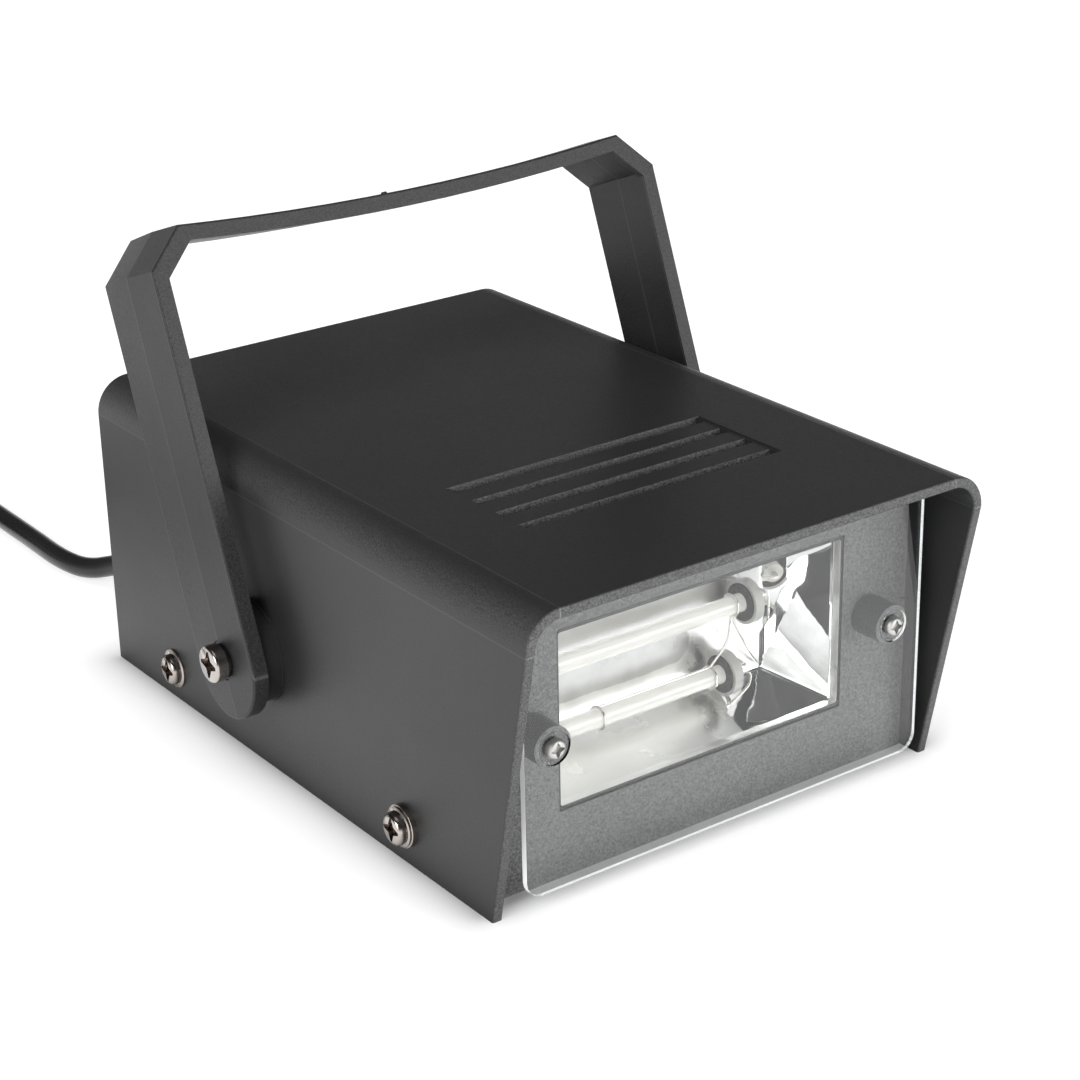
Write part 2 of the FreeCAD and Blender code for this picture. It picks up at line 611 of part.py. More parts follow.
def at_leg_ends(radius, bore, start, length):
    """A ring on each leg, starting that far along it from the grommet's face."""
    rings = []
    for end, z in LEG_ENDS:
        solid = rod(radius, length, (end + start, TUBE_Y, z), X_AXIS)
        if bore > 0:
            solid = solid.cut(rod(bore, length, (end + start, TUBE_Y, z), X_AXIS))
        rings.append(solid)
    return rings


electrode_start = GROMMET_LENGTH + TUBE_TAIL - END_SEAL - ELECTRODE_LENGTH
electrodes = at_leg_ends(ELECTRODE_RADIUS, 0, electrode_start, ELECTRODE_LENGTH)
parts["tube_electrodes"] = Part.makeCompound(electrodes)
grommets = at_leg_ends(GROMMET_RADIUS, TUBE_RADIUS, 0, GROMMET_LENGTH)
parts["tube_grommets"] = Part.makeCompound(grommets)


def tube_holders():
    """Two white cups on the mirror's back, each round a grommet."""
    cups = []
    cup_length = GROMMET_LENGTH - GROMMET_PROUD
    outer = GROMMET_RADIUS + HOLDER_WALL
    for end, z in LEG_ENDS:
        start = end + GROMMET_PROUD
        cup = rod(outer, cup_length, (start, TUBE_Y, z), X_AXIS)
        foot = box(start, start + cup_length, TUBE_Y, MIRROR_BACK_Y, z - outer * 0.7, z + outer * 0.7)
        cups.append(cup.fuse(foot).cut(rod(GROMMET_RADIUS, cup_length, (start, TUBE_Y, z), X_AXIS)))
    return Part.makeCompound(cups)


parts["tube_holders"] = tube_holders()


def tube_leads():
    wires = []
    for (end, z), (hole_x, _) in zip(LEG_ENDS, lead_holes()):
        start = end + GROMMET_LENGTH + TUBE_TAIL
        route = [(start, TUBE_Y, z), (hole_x, TUBE_Y, z), (hole_x, MIRROR_BACK_Y + LEAD_THROUGH, z)]
        wires.append(lead(route, LEAD_RADIUS))
    return Part.makeCompound(wires)


parts["tube_leads"] = tube_leads()


def trigger_wire():
    """A fine wire: a turn round each leg, a run along the lower leg, and a lead to the corner."""
    turn_radius = TUBE_RADIUS + TRIGGER_RADIUS + 0.05
    upper_x = UPPER_LEG_END - 2.6
    lower_x = LOWER_LEG_END - 2.8
    far_x = BEND_X + 11
    turns = [Part.makeTorus(turn_radius, TRIGGER_RADIUS, Vec(x, TUBE_Y, z), X_AXIS)
             for x, z in ((upper_x, UPPER_LEG_Z), (lower_x, LOWER_LEG_Z), (far_x, LOWER_LEG_Z))]
    run_z = LOWER_LEG_Z + turn_radius
    run = rod(TRIGGER_RADIUS, lower_x - far_x, (far_x, TUBE_Y, run_z), X_AXIS)
    bottom = UPPER_LEG_Z - turn_radius
    link = lead([(upper_x, TUBE_Y, bottom), (upper_x - 2.0, TUBE_Y - 1.5, (bottom + run_z) / 2),
                 (lower_x, TUBE_Y, run_z)], TRIGGER_RADIUS)
    hole_x, hole_z = lead_holes()[2]
    drop = lead([(upper_x, TUBE_Y, bottom), (upper_x + 2.0, TUBE_Y - 1.2, bottom - 5.0),
                 (upper_x + 6.3, TUBE_Y + 0.6, hole_z + 5.0), (hole_x, MIRROR_BACK_Y - 1.8, hole_z),
                 (hole_x, MIRROR_BACK_Y + TRIGGER_THROUGH, hole_z)], TRIGGER_RADIUS)
    return turns[0].fuse(turns[1:] + [run, link, drop])


parts["trigger_wire"] = trigger_wire()


# ---- Yoke: a flat U, its outer face a shallow ridge, turning on the two pivot screws ----
def flat_line(a, b, level):
    return Part.LineSegment(Vec(a[0], level, a[1]), Vec(b[0], level, b[1])).toShape()


def bowed_line(a, b, level):
    """The crossbar's long edge, which dips in the middle."""
    middle = Vec(0, level, a[1] - YOKE_BOW)
    return Part.Arc(Vec(a[0], level, a[1]), middle, Vec(b[0], level, b[1])).toShape()


def arch(half_width, top, turn, foot):
    """Corners of half an arch with a cut corner, from its foot up to the crossbar."""
    return [(half_width, foot), (half_width, top - turn), (half_width - turn, top)]


def arch_edges(corners, level):
    """The arch's edges in the plane y = level, from the right foot over to the left one."""
    left = [(-x, z) for x, z in reversed(corners)]
    edges = [flat_line(a, b, level) for a, b in zip(corners, corners[1:])]
    edges.append(bowed_line(corners[-1], left[0], level))
    return edges + [flat_line(a, b, level) for a, b in zip(left, left[1:])]


def yoke_arch(inward, foot):
    """The arch that lies that far inside the yoke's outer face, its cut corners kept parallel."""
    return arch(YOKE_OUTER_X - inward, YOKE_LENGTH - inward,
                YOKE_CHAMFER - inward * math.tan(math.pi / 8), foot)


def yoke_outline(grow, level):
    """The U seen from the front at the upright, as a closed wire in the plane y = level."""
    foot = -YOKE_WIDTH / 2 - YOKE_FOOT_DROP
    outer = arch(YOKE_OUTER_X + grow, YOKE_LENGTH + grow, YOKE_CHAMFER, foot)
    inner = yoke_arch(YOKE_THICKNESS, foot)
    edges = arch_edges(outer, level)
    edges.append(flat_line((-outer[0][0], foot), (-inner[0][0], foot), level))
    edges += arch_edges(inner, level)
    edges.append(flat_line(inner[0], outer[0], level))
    return Part.Wire(Part.__sortEdges__(edges))


def yoke():
    half = YOKE_WIDTH / 2
    levels = [yoke_outline(0, -half), yoke_outline(YOKE_RIDGE, 0), yoke_outline(0, half)]
    body = Part.makeLoft(levels, True, True)
    reach = YOKE_OUTER_X + YOKE_RIDGE + 1
    ends = rod(half, 2 * reach, (-reach, 0, -YOKE_FOOT_DROP), X_AXIS)
    body = body.common(box(-reach, reach, -half, half, -YOKE_FOOT_DROP, YOKE_LENGTH + 2).fuse(ends))
    pad_top = DISC_RADIUS + YOKE_PAD
    hollow_corners = yoke_arch(YOKE_THICKNESS - YOKE_SINK, pad_top)
    hollow_edges = arch_edges(hollow_corners, YOKE_LIP - half)
    hollow_edges.append(flat_line((-hollow_corners[0][0], pad_top), hollow_corners[0], YOKE_LIP - half))
    hollow_face = Part.Face(Part.Wire(Part.__sortEdges__(hollow_edges)))
    body = body.cut(hollow_face.extrude(Vec(0, YOKE_WIDTH, 0)))
    for side in (-1, 1):
        away = Vec(side, 0, 0)
        spot = rod(SPOT_RADIUS, YOKE_RIDGE + 1, (side * YOKE_OUTER_X, 0, 0), away)
        bore = rod(PIVOT_SCREW_RADIUS + PIVOT_CLEARANCE, YOKE_THICKNESS + 2,
                   (side * (YOKE_INNER_X - 1), 0, 0), away)
        body = body.cut([spot, bore])
    crest = YOKE_LENGTH + YOKE_RIDGE - YOKE_BOW
    body = body.fuse(Part.makeCone(PIP_RADIUS, PIP_RADIUS / 2, PIP_HEIGHT + 0.5, Vec(0, 0, crest - 0.5)))
    body = body.removeSplitter()
    long_edges = [e for e in body.Edges if outer_rim(e, half)]
    body = body.makeFillet(EDGE_ROUND, long_edges)
    turn = FreeCAD.Rotation(X_AXIS, -YOKE_TILT)
    body.Placement = FreeCAD.Placement(Vec(0, PIVOT_Y, PIVOT_HEIGHT), turn)
    return body


def outer_rim(edge, half):
    """Whether an edge runs along the front or rear rim of the yoke's outer face."""
    points = [vertex.Point for vertex in edge.Vertexes] + [edge.valueAt(
        (edge.FirstParameter + edge.LastParameter) / 2)]
    on_rim = all(abs(abs(p.y) - half) < 0.001 and p.z > -YOKE_FOOT_DROP - 0.001 for p in points)
    outside = all(abs(p.x) > YOKE_OUTER_X - 0.001 or p.z > YOKE_LENGTH - YOKE_CHAMFER - 0.001
                  or p.z > YOKE_LENGTH - YOKE_BOW - 0.001 for p in points)
    inner_top = YOKE_LENGTH - YOKE_THICKNESS + 0.001
    inner_side = YOKE_INNER_X + YOKE_SINK + 0.001
    inside = all(abs(p.x) < inner_side and p.z < inner_top for p in points)
    return edge.Length > 1 and on_rim and outside and not inside


parts["yoke"] = yoke()
washer_x = YOKE_OUTER_X + SPRING_WASHER_AIR
head_x = washer_x + SPRING_WASHER_THICKNESS
nut_x = COVER_INSIDE_X - PIVOT_NUT_HEIGHT
pivot_screw = cross_screw(PIVOT_HEAD_RADIUS, PIVOT_HEAD_HEIGHT, PIVOT_HEAD_ROUND,
                          PIVOT_SCREW_RADIUS, head_x - nut_x + PIVOT_SCREW_PROUD)
parts["pivot_screws"] = pair(aimed(pivot_screw, X_AXIS, (head_x, PIVOT_Y, PIVOT_HEIGHT)))
split_washer = ring(SPRING_WASHER_RADIUS, PIVOT_SCREW_RADIUS, SPRING_WASHER_THICKNESS,
                    (washer_x, PIVOT_Y, PIVOT_HEIGHT), X_AXIS)
parts["pivot_spring_washers"] = pair(split_washer)
disc = ring(DISC_RADIUS, PIVOT_SCREW_RADIUS + SCREW_CLEARANCE, DISC_THICKNESS,
            (WIDTH / 2, PIVOT_Y, PIVOT_HEIGHT), X_AXIS)
disc_foot = ring(DISC_RADIUS + DISC_FLANGE, PIVOT_SCREW_RADIUS + SCREW_CLEARANCE, DISC_FLANGE_THICKNESS,
                 (WIDTH / 2, PIVOT_Y, PIVOT_HEIGHT), X_AXIS)
parts["friction_discs"] = pair(disc.fuse(disc_foot).removeSplitter())
parts["pivot_nuts"] = pair(nut(PIVOT_NUT_FLATS, PIVOT_NUT_HEIGHT, PIVOT_SCREW_RADIUS,
                               (nut_x, PIVOT_Y, PIVOT_HEIGHT), X_AXIS))

# ---- Screws that hold the cover to the tray ----
rear_screw = cross_screw(COVER_HEAD_RADIUS, COVER_HEAD_HEIGHT, COVER_HEAD_ROUND,
                         COVER_SCREW_RADIUS, COVER_SCREW_LENGTH, REAR_FLANGE_RADIUS)
parts["rear_cover_screws"] = pair(aimed(rear_screw, X_AXIS,
                                        (WIDTH / 2, REAR_SCREW_Y, REAR_SCREW_HEIGHT)))
front_screw = cross_screw(COVER_HEAD_RADIUS, COVER_HEAD_HEIGHT, COVER_HEAD_ROUND,
                          COVER_SCREW_RADIUS, COVER_SCREW_LENGTH, FRONT_FLANGE_RADIUS)
parts["front_cover_screws"] = pair(aimed(front_screw, X_AXIS,
                                         (WIDTH / 2 + WASHER_THICKNESS, FRONT_SCREW_Y, FRONT_SCREW_HEIGHT)))
parts["front_screw_washers"] = pair(ring(WASHER_RADIUS, COVER_SCREW_RADIUS, WASHER_THICKNESS,
                                         (WIDTH / 2, FRONT_SCREW_Y, FRONT_SCREW_HEIGHT), X_AXIS))


# ---- Circuit board and what is soldered on it ----
def circuit_board():
    board = box(-BOARD_X, BOARD_X, BOARD_FRONT, BOARD_FRONT + BOARD_LENGTH,
                BOARD_TOP - BOARD_THICKNESS, BOARD_TOP)
    for x, y in board_corners():
        board = board.cut(rod(BOARD_SCREW_RADIUS + SCREW_CLEARANCE, BOARD_THICKNESS,
                              (x, y, BOARD_TOP - BOARD_THICKNESS), Z_AXIS))
    return board


parts["circuit_board"] = circuit_board()
board_screw = cross_screw(BOARD_HEAD_RADIUS, BOARD_HEAD_HEIGHT, 0.62 * BOARD_HEAD_HEIGHT,
                          BOARD_SCREW_RADIUS, BOARD_THICKNESS + STANDOFF_HEIGHT - 1)
parts["board_screws"] = Part.makeCompound([
    aimed(board_screw, Z_AXIS, (x, y, BOARD_TOP)) for x, y in board_corners()])


def on_board(x, y, width, length, height):
    """A block on the board, centred on (x, y)."""
    return box(x - width / 2, x + width / 2, y - length / 2, y + length / 2, BOARD_TOP, BOARD_TOP + height)


def lying(radius, length, x, y):
    """A round component along Y that lies on the board, its middle at (x, y)."""
    return rod(radius, length, (x, y - length / 2, BOARD_TOP + radius + SEAT_GAP), Y_AXIS)


BOARD_MIDDLE = BOARD_FRONT + BOARD_LENGTH / 2
CAPACITOR_SPACING = 2 * CAPACITOR_RADIUS + CAPACITOR_GAP
capacitor_x = -BOARD_X + STANDOFF_INSET + STANDOFF_RADIUS + CAPACITOR_RADIUS
parts["capacitors"] = Part.makeCompound([
    lying(CAPACITOR_RADIUS, CAPACITOR_LENGTH, capacitor_x + k * CAPACITOR_SPACING, BOARD_MIDDLE)
    for k in range(2)])
transformer_x = BOARD_X - TRANSFORMER_INSET
transformer_y = BOARD_FRONT + TRANSFORMER_FRONT + TRANSFORMER_LENGTH / 2
core = on_board(transformer_x, transformer_y,
                TRANSFORMER_WIDTH, TRANSFORMER_LENGTH, TRANSFORMER_HEIGHT)
winding_front = transformer_y - TRANSFORMER_LENGTH / 2 - WINDING_PROUD
winding_z = BOARD_TOP + TRANSFORMER_HEIGHT / 2
winding = rod(WINDING_RADIUS, TRANSFORMER_LENGTH + 2 * WINDING_PROUD,
              (transformer_x, winding_front, winding_z), Y_AXIS)
parts["trigger_transformer"] = core.fuse(winding)
parts["power_resistor"] = on_board(BOARD_X - RESISTOR_INSET, BOARD_MIDDLE,
                                   RESISTOR_SIDE, RESISTOR_LENGTH, RESISTOR_SIDE)
parts["diodes"] = Part.makeCompound([
    lying(DIODE_RADIUS, DIODE_LENGTH, DIODE_INSET - BOARD_X + DIODE_PITCH * k, BOARD_FRONT + DIODE_FRONT)
    for k in range(3)])


def thyristor():
    """A moulded body with a holed metal tab along its front face."""
    face = BOARD_FRONT + THYRISTOR_FRONT
    x = transformer_x - TRANSFORMER_WIDTH / 2 - THYRISTOR_GAP - THYRISTOR_WIDTH / 2
    body = on_board(x, face + THYRISTOR_DEPTH / 2, THYRISTOR_WIDTH, THYRISTOR_DEPTH, THYRISTOR_HEIGHT)
    tab = on_board(x, face - TAB_THICKNESS / 2, THYRISTOR_WIDTH, TAB_THICKNESS, TAB_HEIGHT)
    hole_z = BOARD_TOP + (THYRISTOR_HEIGHT + TAB_HEIGHT) / 2
    hole = rod(TAB_HOLE_RADIUS, 2 * TAB_THICKNESS, (x, face - 1.5 * TAB_THICKNESS, hole_z), Y_AXIS)
    return body.fuse(tab.cut(hole))


parts["thyristor"] = thyristor()
FUSE_Y = BOARD_MIDDLE + FUSE_SETBACK
FUSE_Z = BOARD_TOP + FUSE_LIFT
parts["fuse"] = rod(FUSE_RADIUS, FUSE_LENGTH, (FUSE_X, FUSE_Y - FUSE_LENGTH / 2, FUSE_Z), Y_AXIS)


def fuse_clips():
    clips = []
    for sign in (-1, 1):
        y = FUSE_Y + sign * (FUSE_LENGTH / 2 - CLIP_INSET)
        clip = on_board(FUSE_X, y, 2 * (FUSE_RADIUS + CLIP_WALL), CLIP_LENGTH, FUSE_LIFT + 0.6 * FUSE_RADIUS)
        seat = rod(FUSE_RADIUS, 2 * CLIP_LENGTH, (FUSE_X, y - CLIP_LENGTH, FUSE_Z), Y_AXIS)
        clips.append(clip.cut(seat))
    return Part.makeCompound(clips)


parts["fuse_clips"] = fuse_clips()
TERMINAL_X = TERMINAL_INSET - BOARD_X
TERMINAL_Y = BOARD_FRONT + BOARD_LENGTH - TERMINAL_BACK
terminal = on_board(TERMINAL_X, TERMINAL_Y, 2 * TERMINAL_PITCH + 2, TERMINAL_DEPTH, TERMINAL_HEIGHT)
for sign in (-1, 1):
    hole_x = TERMINAL_X + sign * TERMINAL_PITCH / 2
    hole_floor = BOARD_TOP + TERMINAL_HEIGHT - TERMINAL_HOLE_DEPTH
    terminal = terminal.cut(rod(TERMINAL_HOLE_RADIUS, TERMINAL_HOLE_DEPTH + 1,
                                (hole_x, TERMINAL_Y, hole_floor), Z_AXIS))
parts["terminal_block"] = terminal

# ---- Speed control on the rear wall ----
wall_inside = REAR_WALL_Y - BASE_WALL
shaft_end = REAR_WALL_Y + KNOB_GAP + KNOB_LENGTH - 3.0
pot_body = rod(POT_RADIUS, POT_DEPTH, (KNOB_X, wall_inside, KNOB_HEIGHT), -Y_AXIS)
lug_back = wall_inside - LUG_DEPTH
lugs = box(KNOB_X - 1.5 * LUG_PITCH, KNOB_X + 1.5 * LUG_PITCH, lug_back - LUG_THICKNESS, lug_back,
           KNOB_HEIGHT - LUG_DROP, KNOB_HEIGHT)
bushing = rod(BUSHING_RADIUS, BASE_WALL + BUSHING_LENGTH, (KNOB_X, wall_inside, KNOB_HEIGHT), Y_AXIS)
shaft_bore = rod(SHAFT_RADIUS + SHAFT_CLEARANCE, POT_DEPTH + BASE_WALL + BUSHING_LENGTH,
                 (KNOB_X, wall_inside - POT_DEPTH / 2, KNOB_HEIGHT), Y_AXIS)
parts["potentiometer"] = pot_body.fuse([lugs, bushing]).cut(shaft_bore)
pot_washer = ring(POT_WASHER_RADIUS, BUSHING_RADIUS, POT_WASHER_THICKNESS,
                  (KNOB_X, REAR_WALL_Y, KNOB_HEIGHT), Y_AXIS)
pot_nut = nut(POT_NUT_FLATS, POT_NUT_HEIGHT, BUSHING_RADIUS,
              (KNOB_X, REAR_WALL_Y + POT_WASHER_THICKNESS, KNOB_HEIGHT), Y_AXIS)
parts["pot_nut"] = Part.makeCompound([pot_washer, pot_nut])
shaft_start = wall_inside - POT_DEPTH / 2 + 0.3
parts["pot_shaft"] = rod(SHAFT_RADIUS, shaft_end - shaft_start, (KNOB_X, shaft_start, KNOB_HEIGHT), Y_AXIS)


def speed_knob():
    """A skirted knob with a pointer rib; its cup clears the control's nut."""
    start = REAR_WALL_Y + KNOB_GAP
    grip_radius = KNOB_RADIUS - 1.4
    skirt_length = 5.5
    skirt = rod(KNOB_RADIUS, skirt_length, (KNOB_X, start, KNOB_HEIGHT), Y_AXIS)
    grip = Part.makeCone(grip_radius, grip_radius - 0.6, KNOB_LENGTH,
                         Vec(KNOB_X, start, KNOB_HEIGHT), Y_AXIS)
    pointer = box(KNOB_X - 0.6, KNOB_X + 0.6, start + 1, start + KNOB_LENGTH + 0.4,
                  KNOB_HEIGHT, KNOB_HEIGHT + KNOB_RADIUS - 0.4)
    body = skirt.fuse([grip, pointer])
    flutes = 18
    for k in range(flutes):
        angle = 2 * math.pi * (k + 0.5) / flutes
        place = (KNOB_X + grip_radius * math.sin(angle), start + skirt_length,
                 KNOB_HEIGHT + grip_radius * math.cos(angle))
        body = body.cut(rod(0.55, KNOB_LENGTH, place, Y_AXIS))
    cup_radius = max(POT_WASHER_RADIUS, POT_NUT_FLATS / math.sqrt(3)) + 0.4
    cup_depth = BUSHING_LENGTH - KNOB_GAP + 0.5
    body = body.cut(rod(cup_radius, cup_depth, (KNOB_X, start, KNOB_HEIGHT), Y_AXIS))
    return body.cut(rod(SHAFT_RADIUS, shaft_end - start, (KNOB_X, start, KNOB_HEIGHT), Y_AXIS))


parts["speed_knob"] = speed_knob()


# ---- Mains lead: strain relief, lead, put-away coil with its tie, and plug ----
def strain_relief():
    inner = rod(RELIEF_FLANGE_RADIUS, RELIEF_FLANGE_THICKNESS,
                (LEAD_X, wall_inside - RELIEF_FLANGE_THICKNESS, LEAD_HEIGHT), Y_AXIS)
    neck = rod(RELIEF_NECK_RADIUS, BASE_WALL, (LEAD_X, wall_inside, LEAD_HEIGHT), Y_AXIS)
    outer = rod(RELIEF_FLANGE_RADIUS, RELIEF_FLANGE_THICKNESS, (LEAD_X, REAR_WALL_Y, LEAD_HEIGHT), Y_AXIS)
    sleeve = Part.makeCone(RELIEF_RADIUS, RELIEF_NOSE_RADIUS, RELIEF_LENGTH - RELIEF_FLANGE_THICKNESS,
                           Vec(LEAD_X, REAR_WALL_Y + RELIEF_FLANGE_THICKNESS, LEAD_HEIGHT), Y_AXIS)
    body = inner.fuse([neck, outer, sleeve])
    groove = RELIEF_RADIUS + 0.2
    for k in range(4):
        y = REAR_WALL_Y + RELIEF_FLANGE_THICKNESS + 3.0 + 3.6 * k
        left = ring(groove, RELIEF_NOSE_RADIUS - 0.4, 1.3, (LEAD_X, y, LEAD_HEIGHT), Y_AXIS)
        keep = box(LEAD_X - 1.6, LEAD_X + 1.6, y - 1, y + 3, LEAD_HEIGHT - 9, LEAD_HEIGHT + 9)
        body = body.cut(left.cut(keep))
    return body


parts["strain_relief"] = strain_relief()
coil_outer = COIL_MEAN_RADIUS + COIL_ROWS * CORD_RADIUS
coil_inner = COIL_MEAN_RADIUS - COIL_ROWS * CORD_RADIUS
coil_height = 2 * CORD_RADIUS + COIL_LAYER
entry_radius = COIL_MEAN_RADIUS + (COIL_ROWS - 1) * CORD_RADIUS
tail_radius = entry_radius - CORD_RADIUS
tail_z = COIL_LIFT + CORD_RADIUS + COIL_LAYER
plug_z = PLUG_THICKNESS / 2


def mains_cord():
    entry = (COIL_CENTRE_X + entry_radius, COIL_CENTRE_Y - 3, COIL_LIFT + CORD_RADIUS)
    approach = (COIL_CENTRE_X + entry_radius, COIL_CENTRE_Y - 12, CORD_RADIUS)
    start = (LEAD_X, RELIEF_END_Y, LEAD_HEIGHT)
    straight = (LEAD_X, RELIEF_END_Y + CORD_STRAIGHT, LEAD_HEIGHT)
    run = lead([start, straight] + CORD_ROUTE + [approach], CORD_RADIUS, "mains_cord")
    tail_x = COIL_CENTRE_X - tail_radius
    middle_y = (COIL_CENTRE_Y + PLUG_BACK_Y) / 2 - 4
    tail = lead([(tail_x, COIL_CENTRE_Y - 10, tail_z), (tail_x - 1.0, middle_y, tail_z - 2.0),
                 (tail_x, PLUG_BACK_Y, plug_z)], CORD_RADIUS, "tail")
    return Part.makeCompound([run, tail]), entry


parts["mains_cord"], coil_entry = mains_cord()


def cord_coil():
    """The outer shape of five turns: a flat ring with rounded edges."""
    place = (COIL_CENTRE_X, COIL_CENTRE_Y, COIL_LIFT)
    body = ring(coil_outer, coil_inner, coil_height, place, Z_AXIS)
    rims = [e for e in body.Edges if e.Closed and e.CenterOfMass.z > COIL_LIFT + coil_height - 0.01]
    return body.makeFillet(CORD_RADIUS, rims)


parts["cord_coil"] = cord_coil()


def cord_tie():
    """A flat band round the bundle of turns, on the coil's far side."""
    inner_y = COIL_CENTRE_Y + coil_inner - 0.3
    outer_y = COIL_CENTRE_Y + coil_outer + 0.3
    top = COIL_LIFT + coil_height + 0.3
    low = COIL_LIFT - 0.1
    half = TIE_WIDTH / 2
    x = COIL_CENTRE_X
    wall = TIE_THICKNESS
    band = box(x - half, x + half, inner_y - wall, outer_y + wall, low - wall, top + wall)
    band = band.cut(box(x - half, x + half, inner_y, outer_y, low, top))
    head = box(x - half - 1, x + half + 1, outer_y + wall, outer_y + wall + 3, 3.5, 8.5)
    return band.fuse(head)


parts["cord_tie"] = cord_tie()
plug_x = COIL_CENTRE_X - tail_radius


def plug_body():
    """A flat two-pin plug: a waisted body with a short tapered sleeve for the lead."""
    back = PLUG_BACK_Y - PLUG_TAIL_LENGTH
    face = back - PLUG_LENGTH
    half = PLUG_WIDTH / 2
    waist = half * 0.62
    widest = face + PLUG_LENGTH * 0.35
    outline = [(-half, face), (half, face), (half, widest), (waist, back - 4), (waist * 0.6, back),
               (-waist * 0.6, back), (-waist, back - 4), (-half, widest)]
    corners = [Vec(plug_x + x, y, 0) for x, y in outline]
    body = Part.Face(Part.makePolygon(corners + corners[:1])).extrude(Vec(0, 0, PLUG_THICKNESS))
    body = body.makeFillet(1.5, [e for e in body.Edges if not along(e, Z_AXIS)])
    sleeve = Part.makeCone(PLUG_TAIL_RADIUS + 0.8, PLUG_TAIL_RADIUS - 0.6, PLUG_TAIL_LENGTH + 2,
                           Vec(plug_x, back - 2, plug_z), Y_AXIS)
    return body.fuse(sleeve)


parts["plug_body"] = plug_body()
pin_root = PLUG_BACK_Y - PLUG_TAIL_LENGTH - PLUG_LENGTH
pins = []
for sign in (-1, 1):
    pin = rod(PIN_RADIUS, PIN_LENGTH, (plug_x + sign * PIN_SPACING / 2, pin_root, plug_z), -Y_AXIS)
    tip = [e for e in pin.Edges if e.Closed and e.CenterOfMass.y < pin_root - PIN_LENGTH + 0.01]
    pins.append(pin.makeFillet(PIN_RADIUS * 0.6, tip))
parts["plug_pins"] = Part.makeCompound(pins)


# ---- Wires inside: mains to the terminals, the speed control, and the tube ----
def hookup_wires():
    """Each wire leaves and meets its ends square on, and lands on the board from above."""
    wires = []
    back = wall_inside - RELIEF_FLANGE_THICKNESS
    entry_y = TERMINAL_Y + TERMINAL_DEPTH / 2
    entry_z = BOARD_TOP + 4
    for sign in (-1, 1):
        x0 = LEAD_X + sign * 1.5
        x1 = TERMINAL_X + sign * TERMINAL_PITCH / 2
        wires.append(lead([(x0, back, LEAD_HEIGHT), (x0, back - 7, LEAD_HEIGHT),
                           (x1, entry_y + 6, entry_z), (x1, entry_y, entry_z)], WIRE_RADIUS))
    landing_y = BOARD_FRONT + BOARD_LENGTH - 5
    lug_y = wall_inside - LUG_DEPTH - LUG_THICKNESS / 2
    for k in (-1, 0, 1):
        x = KNOB_X + LUG_PITCH * k
        wires.append(lead([(x, lug_y, KNOB_HEIGHT - LUG_DROP), (x, lug_y, KNOB_HEIGHT - LUG_DROP - 4),
                           (x, landing_y, BOARD_TOP + 6), (x, landing_y, BOARD_TOP)], WIRE_RADIUS))
    landings = [(transformer_x + 12, BOARD_FRONT + 6), (transformer_x - 10, BOARD_FRONT + 4)]
    for (hole_x, hole_z), (x, y) in zip(lead_holes(), landings):
        start_y = MIRROR_BACK_Y + LEAD_THROUGH
        wires.append(lead([(hole_x, start_y, hole_z), (hole_x, start_y + 5, hole_z),
                           (x, y, BOARD_TOP + 8), (x, y, BOARD_TOP)], WIRE_RADIUS))
    hole_x, hole_z = lead_holes()[2]
    start_y = MIRROR_BACK_Y + TRIGGER_THROUGH
    wires.append(lead([(hole_x, start_y, hole_z), (hole_x, start_y + 5, hole_z),
                       (transformer_x, winding_front - 5, winding_z),
                       (transformer_x, winding_front, winding_z)], TRIGGER_RADIUS))
    return Part.makeCompound(wires)


parts["hookup_wires"] = hookup_wires()

for name, shape in parts.items():
    assert shape.isValid(), name
    shape.exportStep("parts/" + name + ".step")
    print(name, "solids", len(shape.Solids), "volume", round(shape.Volume, 1))
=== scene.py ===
import math
from functools import partial, reduce

import bmesh
import bpy
import numpy as np
from mathutils import Matrix, Vector


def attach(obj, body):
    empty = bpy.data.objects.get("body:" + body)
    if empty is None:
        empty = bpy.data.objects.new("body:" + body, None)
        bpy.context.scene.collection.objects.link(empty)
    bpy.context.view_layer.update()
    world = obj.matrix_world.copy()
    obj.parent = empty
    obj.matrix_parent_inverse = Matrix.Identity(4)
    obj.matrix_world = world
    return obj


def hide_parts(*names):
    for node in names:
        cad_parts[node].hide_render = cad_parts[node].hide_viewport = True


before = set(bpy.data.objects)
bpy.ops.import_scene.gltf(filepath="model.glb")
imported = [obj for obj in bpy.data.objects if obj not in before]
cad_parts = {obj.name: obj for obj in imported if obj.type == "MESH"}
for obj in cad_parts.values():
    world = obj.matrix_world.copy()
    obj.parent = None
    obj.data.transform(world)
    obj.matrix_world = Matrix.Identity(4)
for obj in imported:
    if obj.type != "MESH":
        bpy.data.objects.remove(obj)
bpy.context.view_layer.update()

# ---- Camera ----
# A long lens looking down on the light's front left corner, a little turned about its own axis.
# Its frame is shifted slightly, as from a picture cut out of a larger one.
yaw = math.radians(-35.499)
pitch = math.radians(23.356)
roll = math.radians(-1.37)
back = Vector((math.sin(yaw) * math.cos(pitch), -math.cos(yaw) * math.cos(pitch), math.sin(pitch)))
level_right = (-back).cross(Vector((0, 0, 1))).normalized()
level_up = level_right.cross(-back)
camera_right = math.cos(roll) * level_right + math.sin(roll) * level_up
camera_up = math.cos(roll) * level_up - math.sin(roll) * level_right
turn = Matrix((camera_right, camera_up, back)).transposed()
camera_data = bpy.data.cameras.new("camera")
camera_data.sensor_width = 36
camera_data.lens = 84.553
camera_data.shift_x = 0.02082
camera_data.shift_y = 0.01253
camera_data.clip_start = 0.01
lens_place = (-0.30858, -0.43254, 0.26963)
camera = bpy.data.objects.new("camera", camera_data)
camera.matrix_world = Matrix.Translation(lens_place) @ turn.to_4x4()
bpy.context.scene.collection.objects.link(camera)
bpy.context.scene.camera = camera

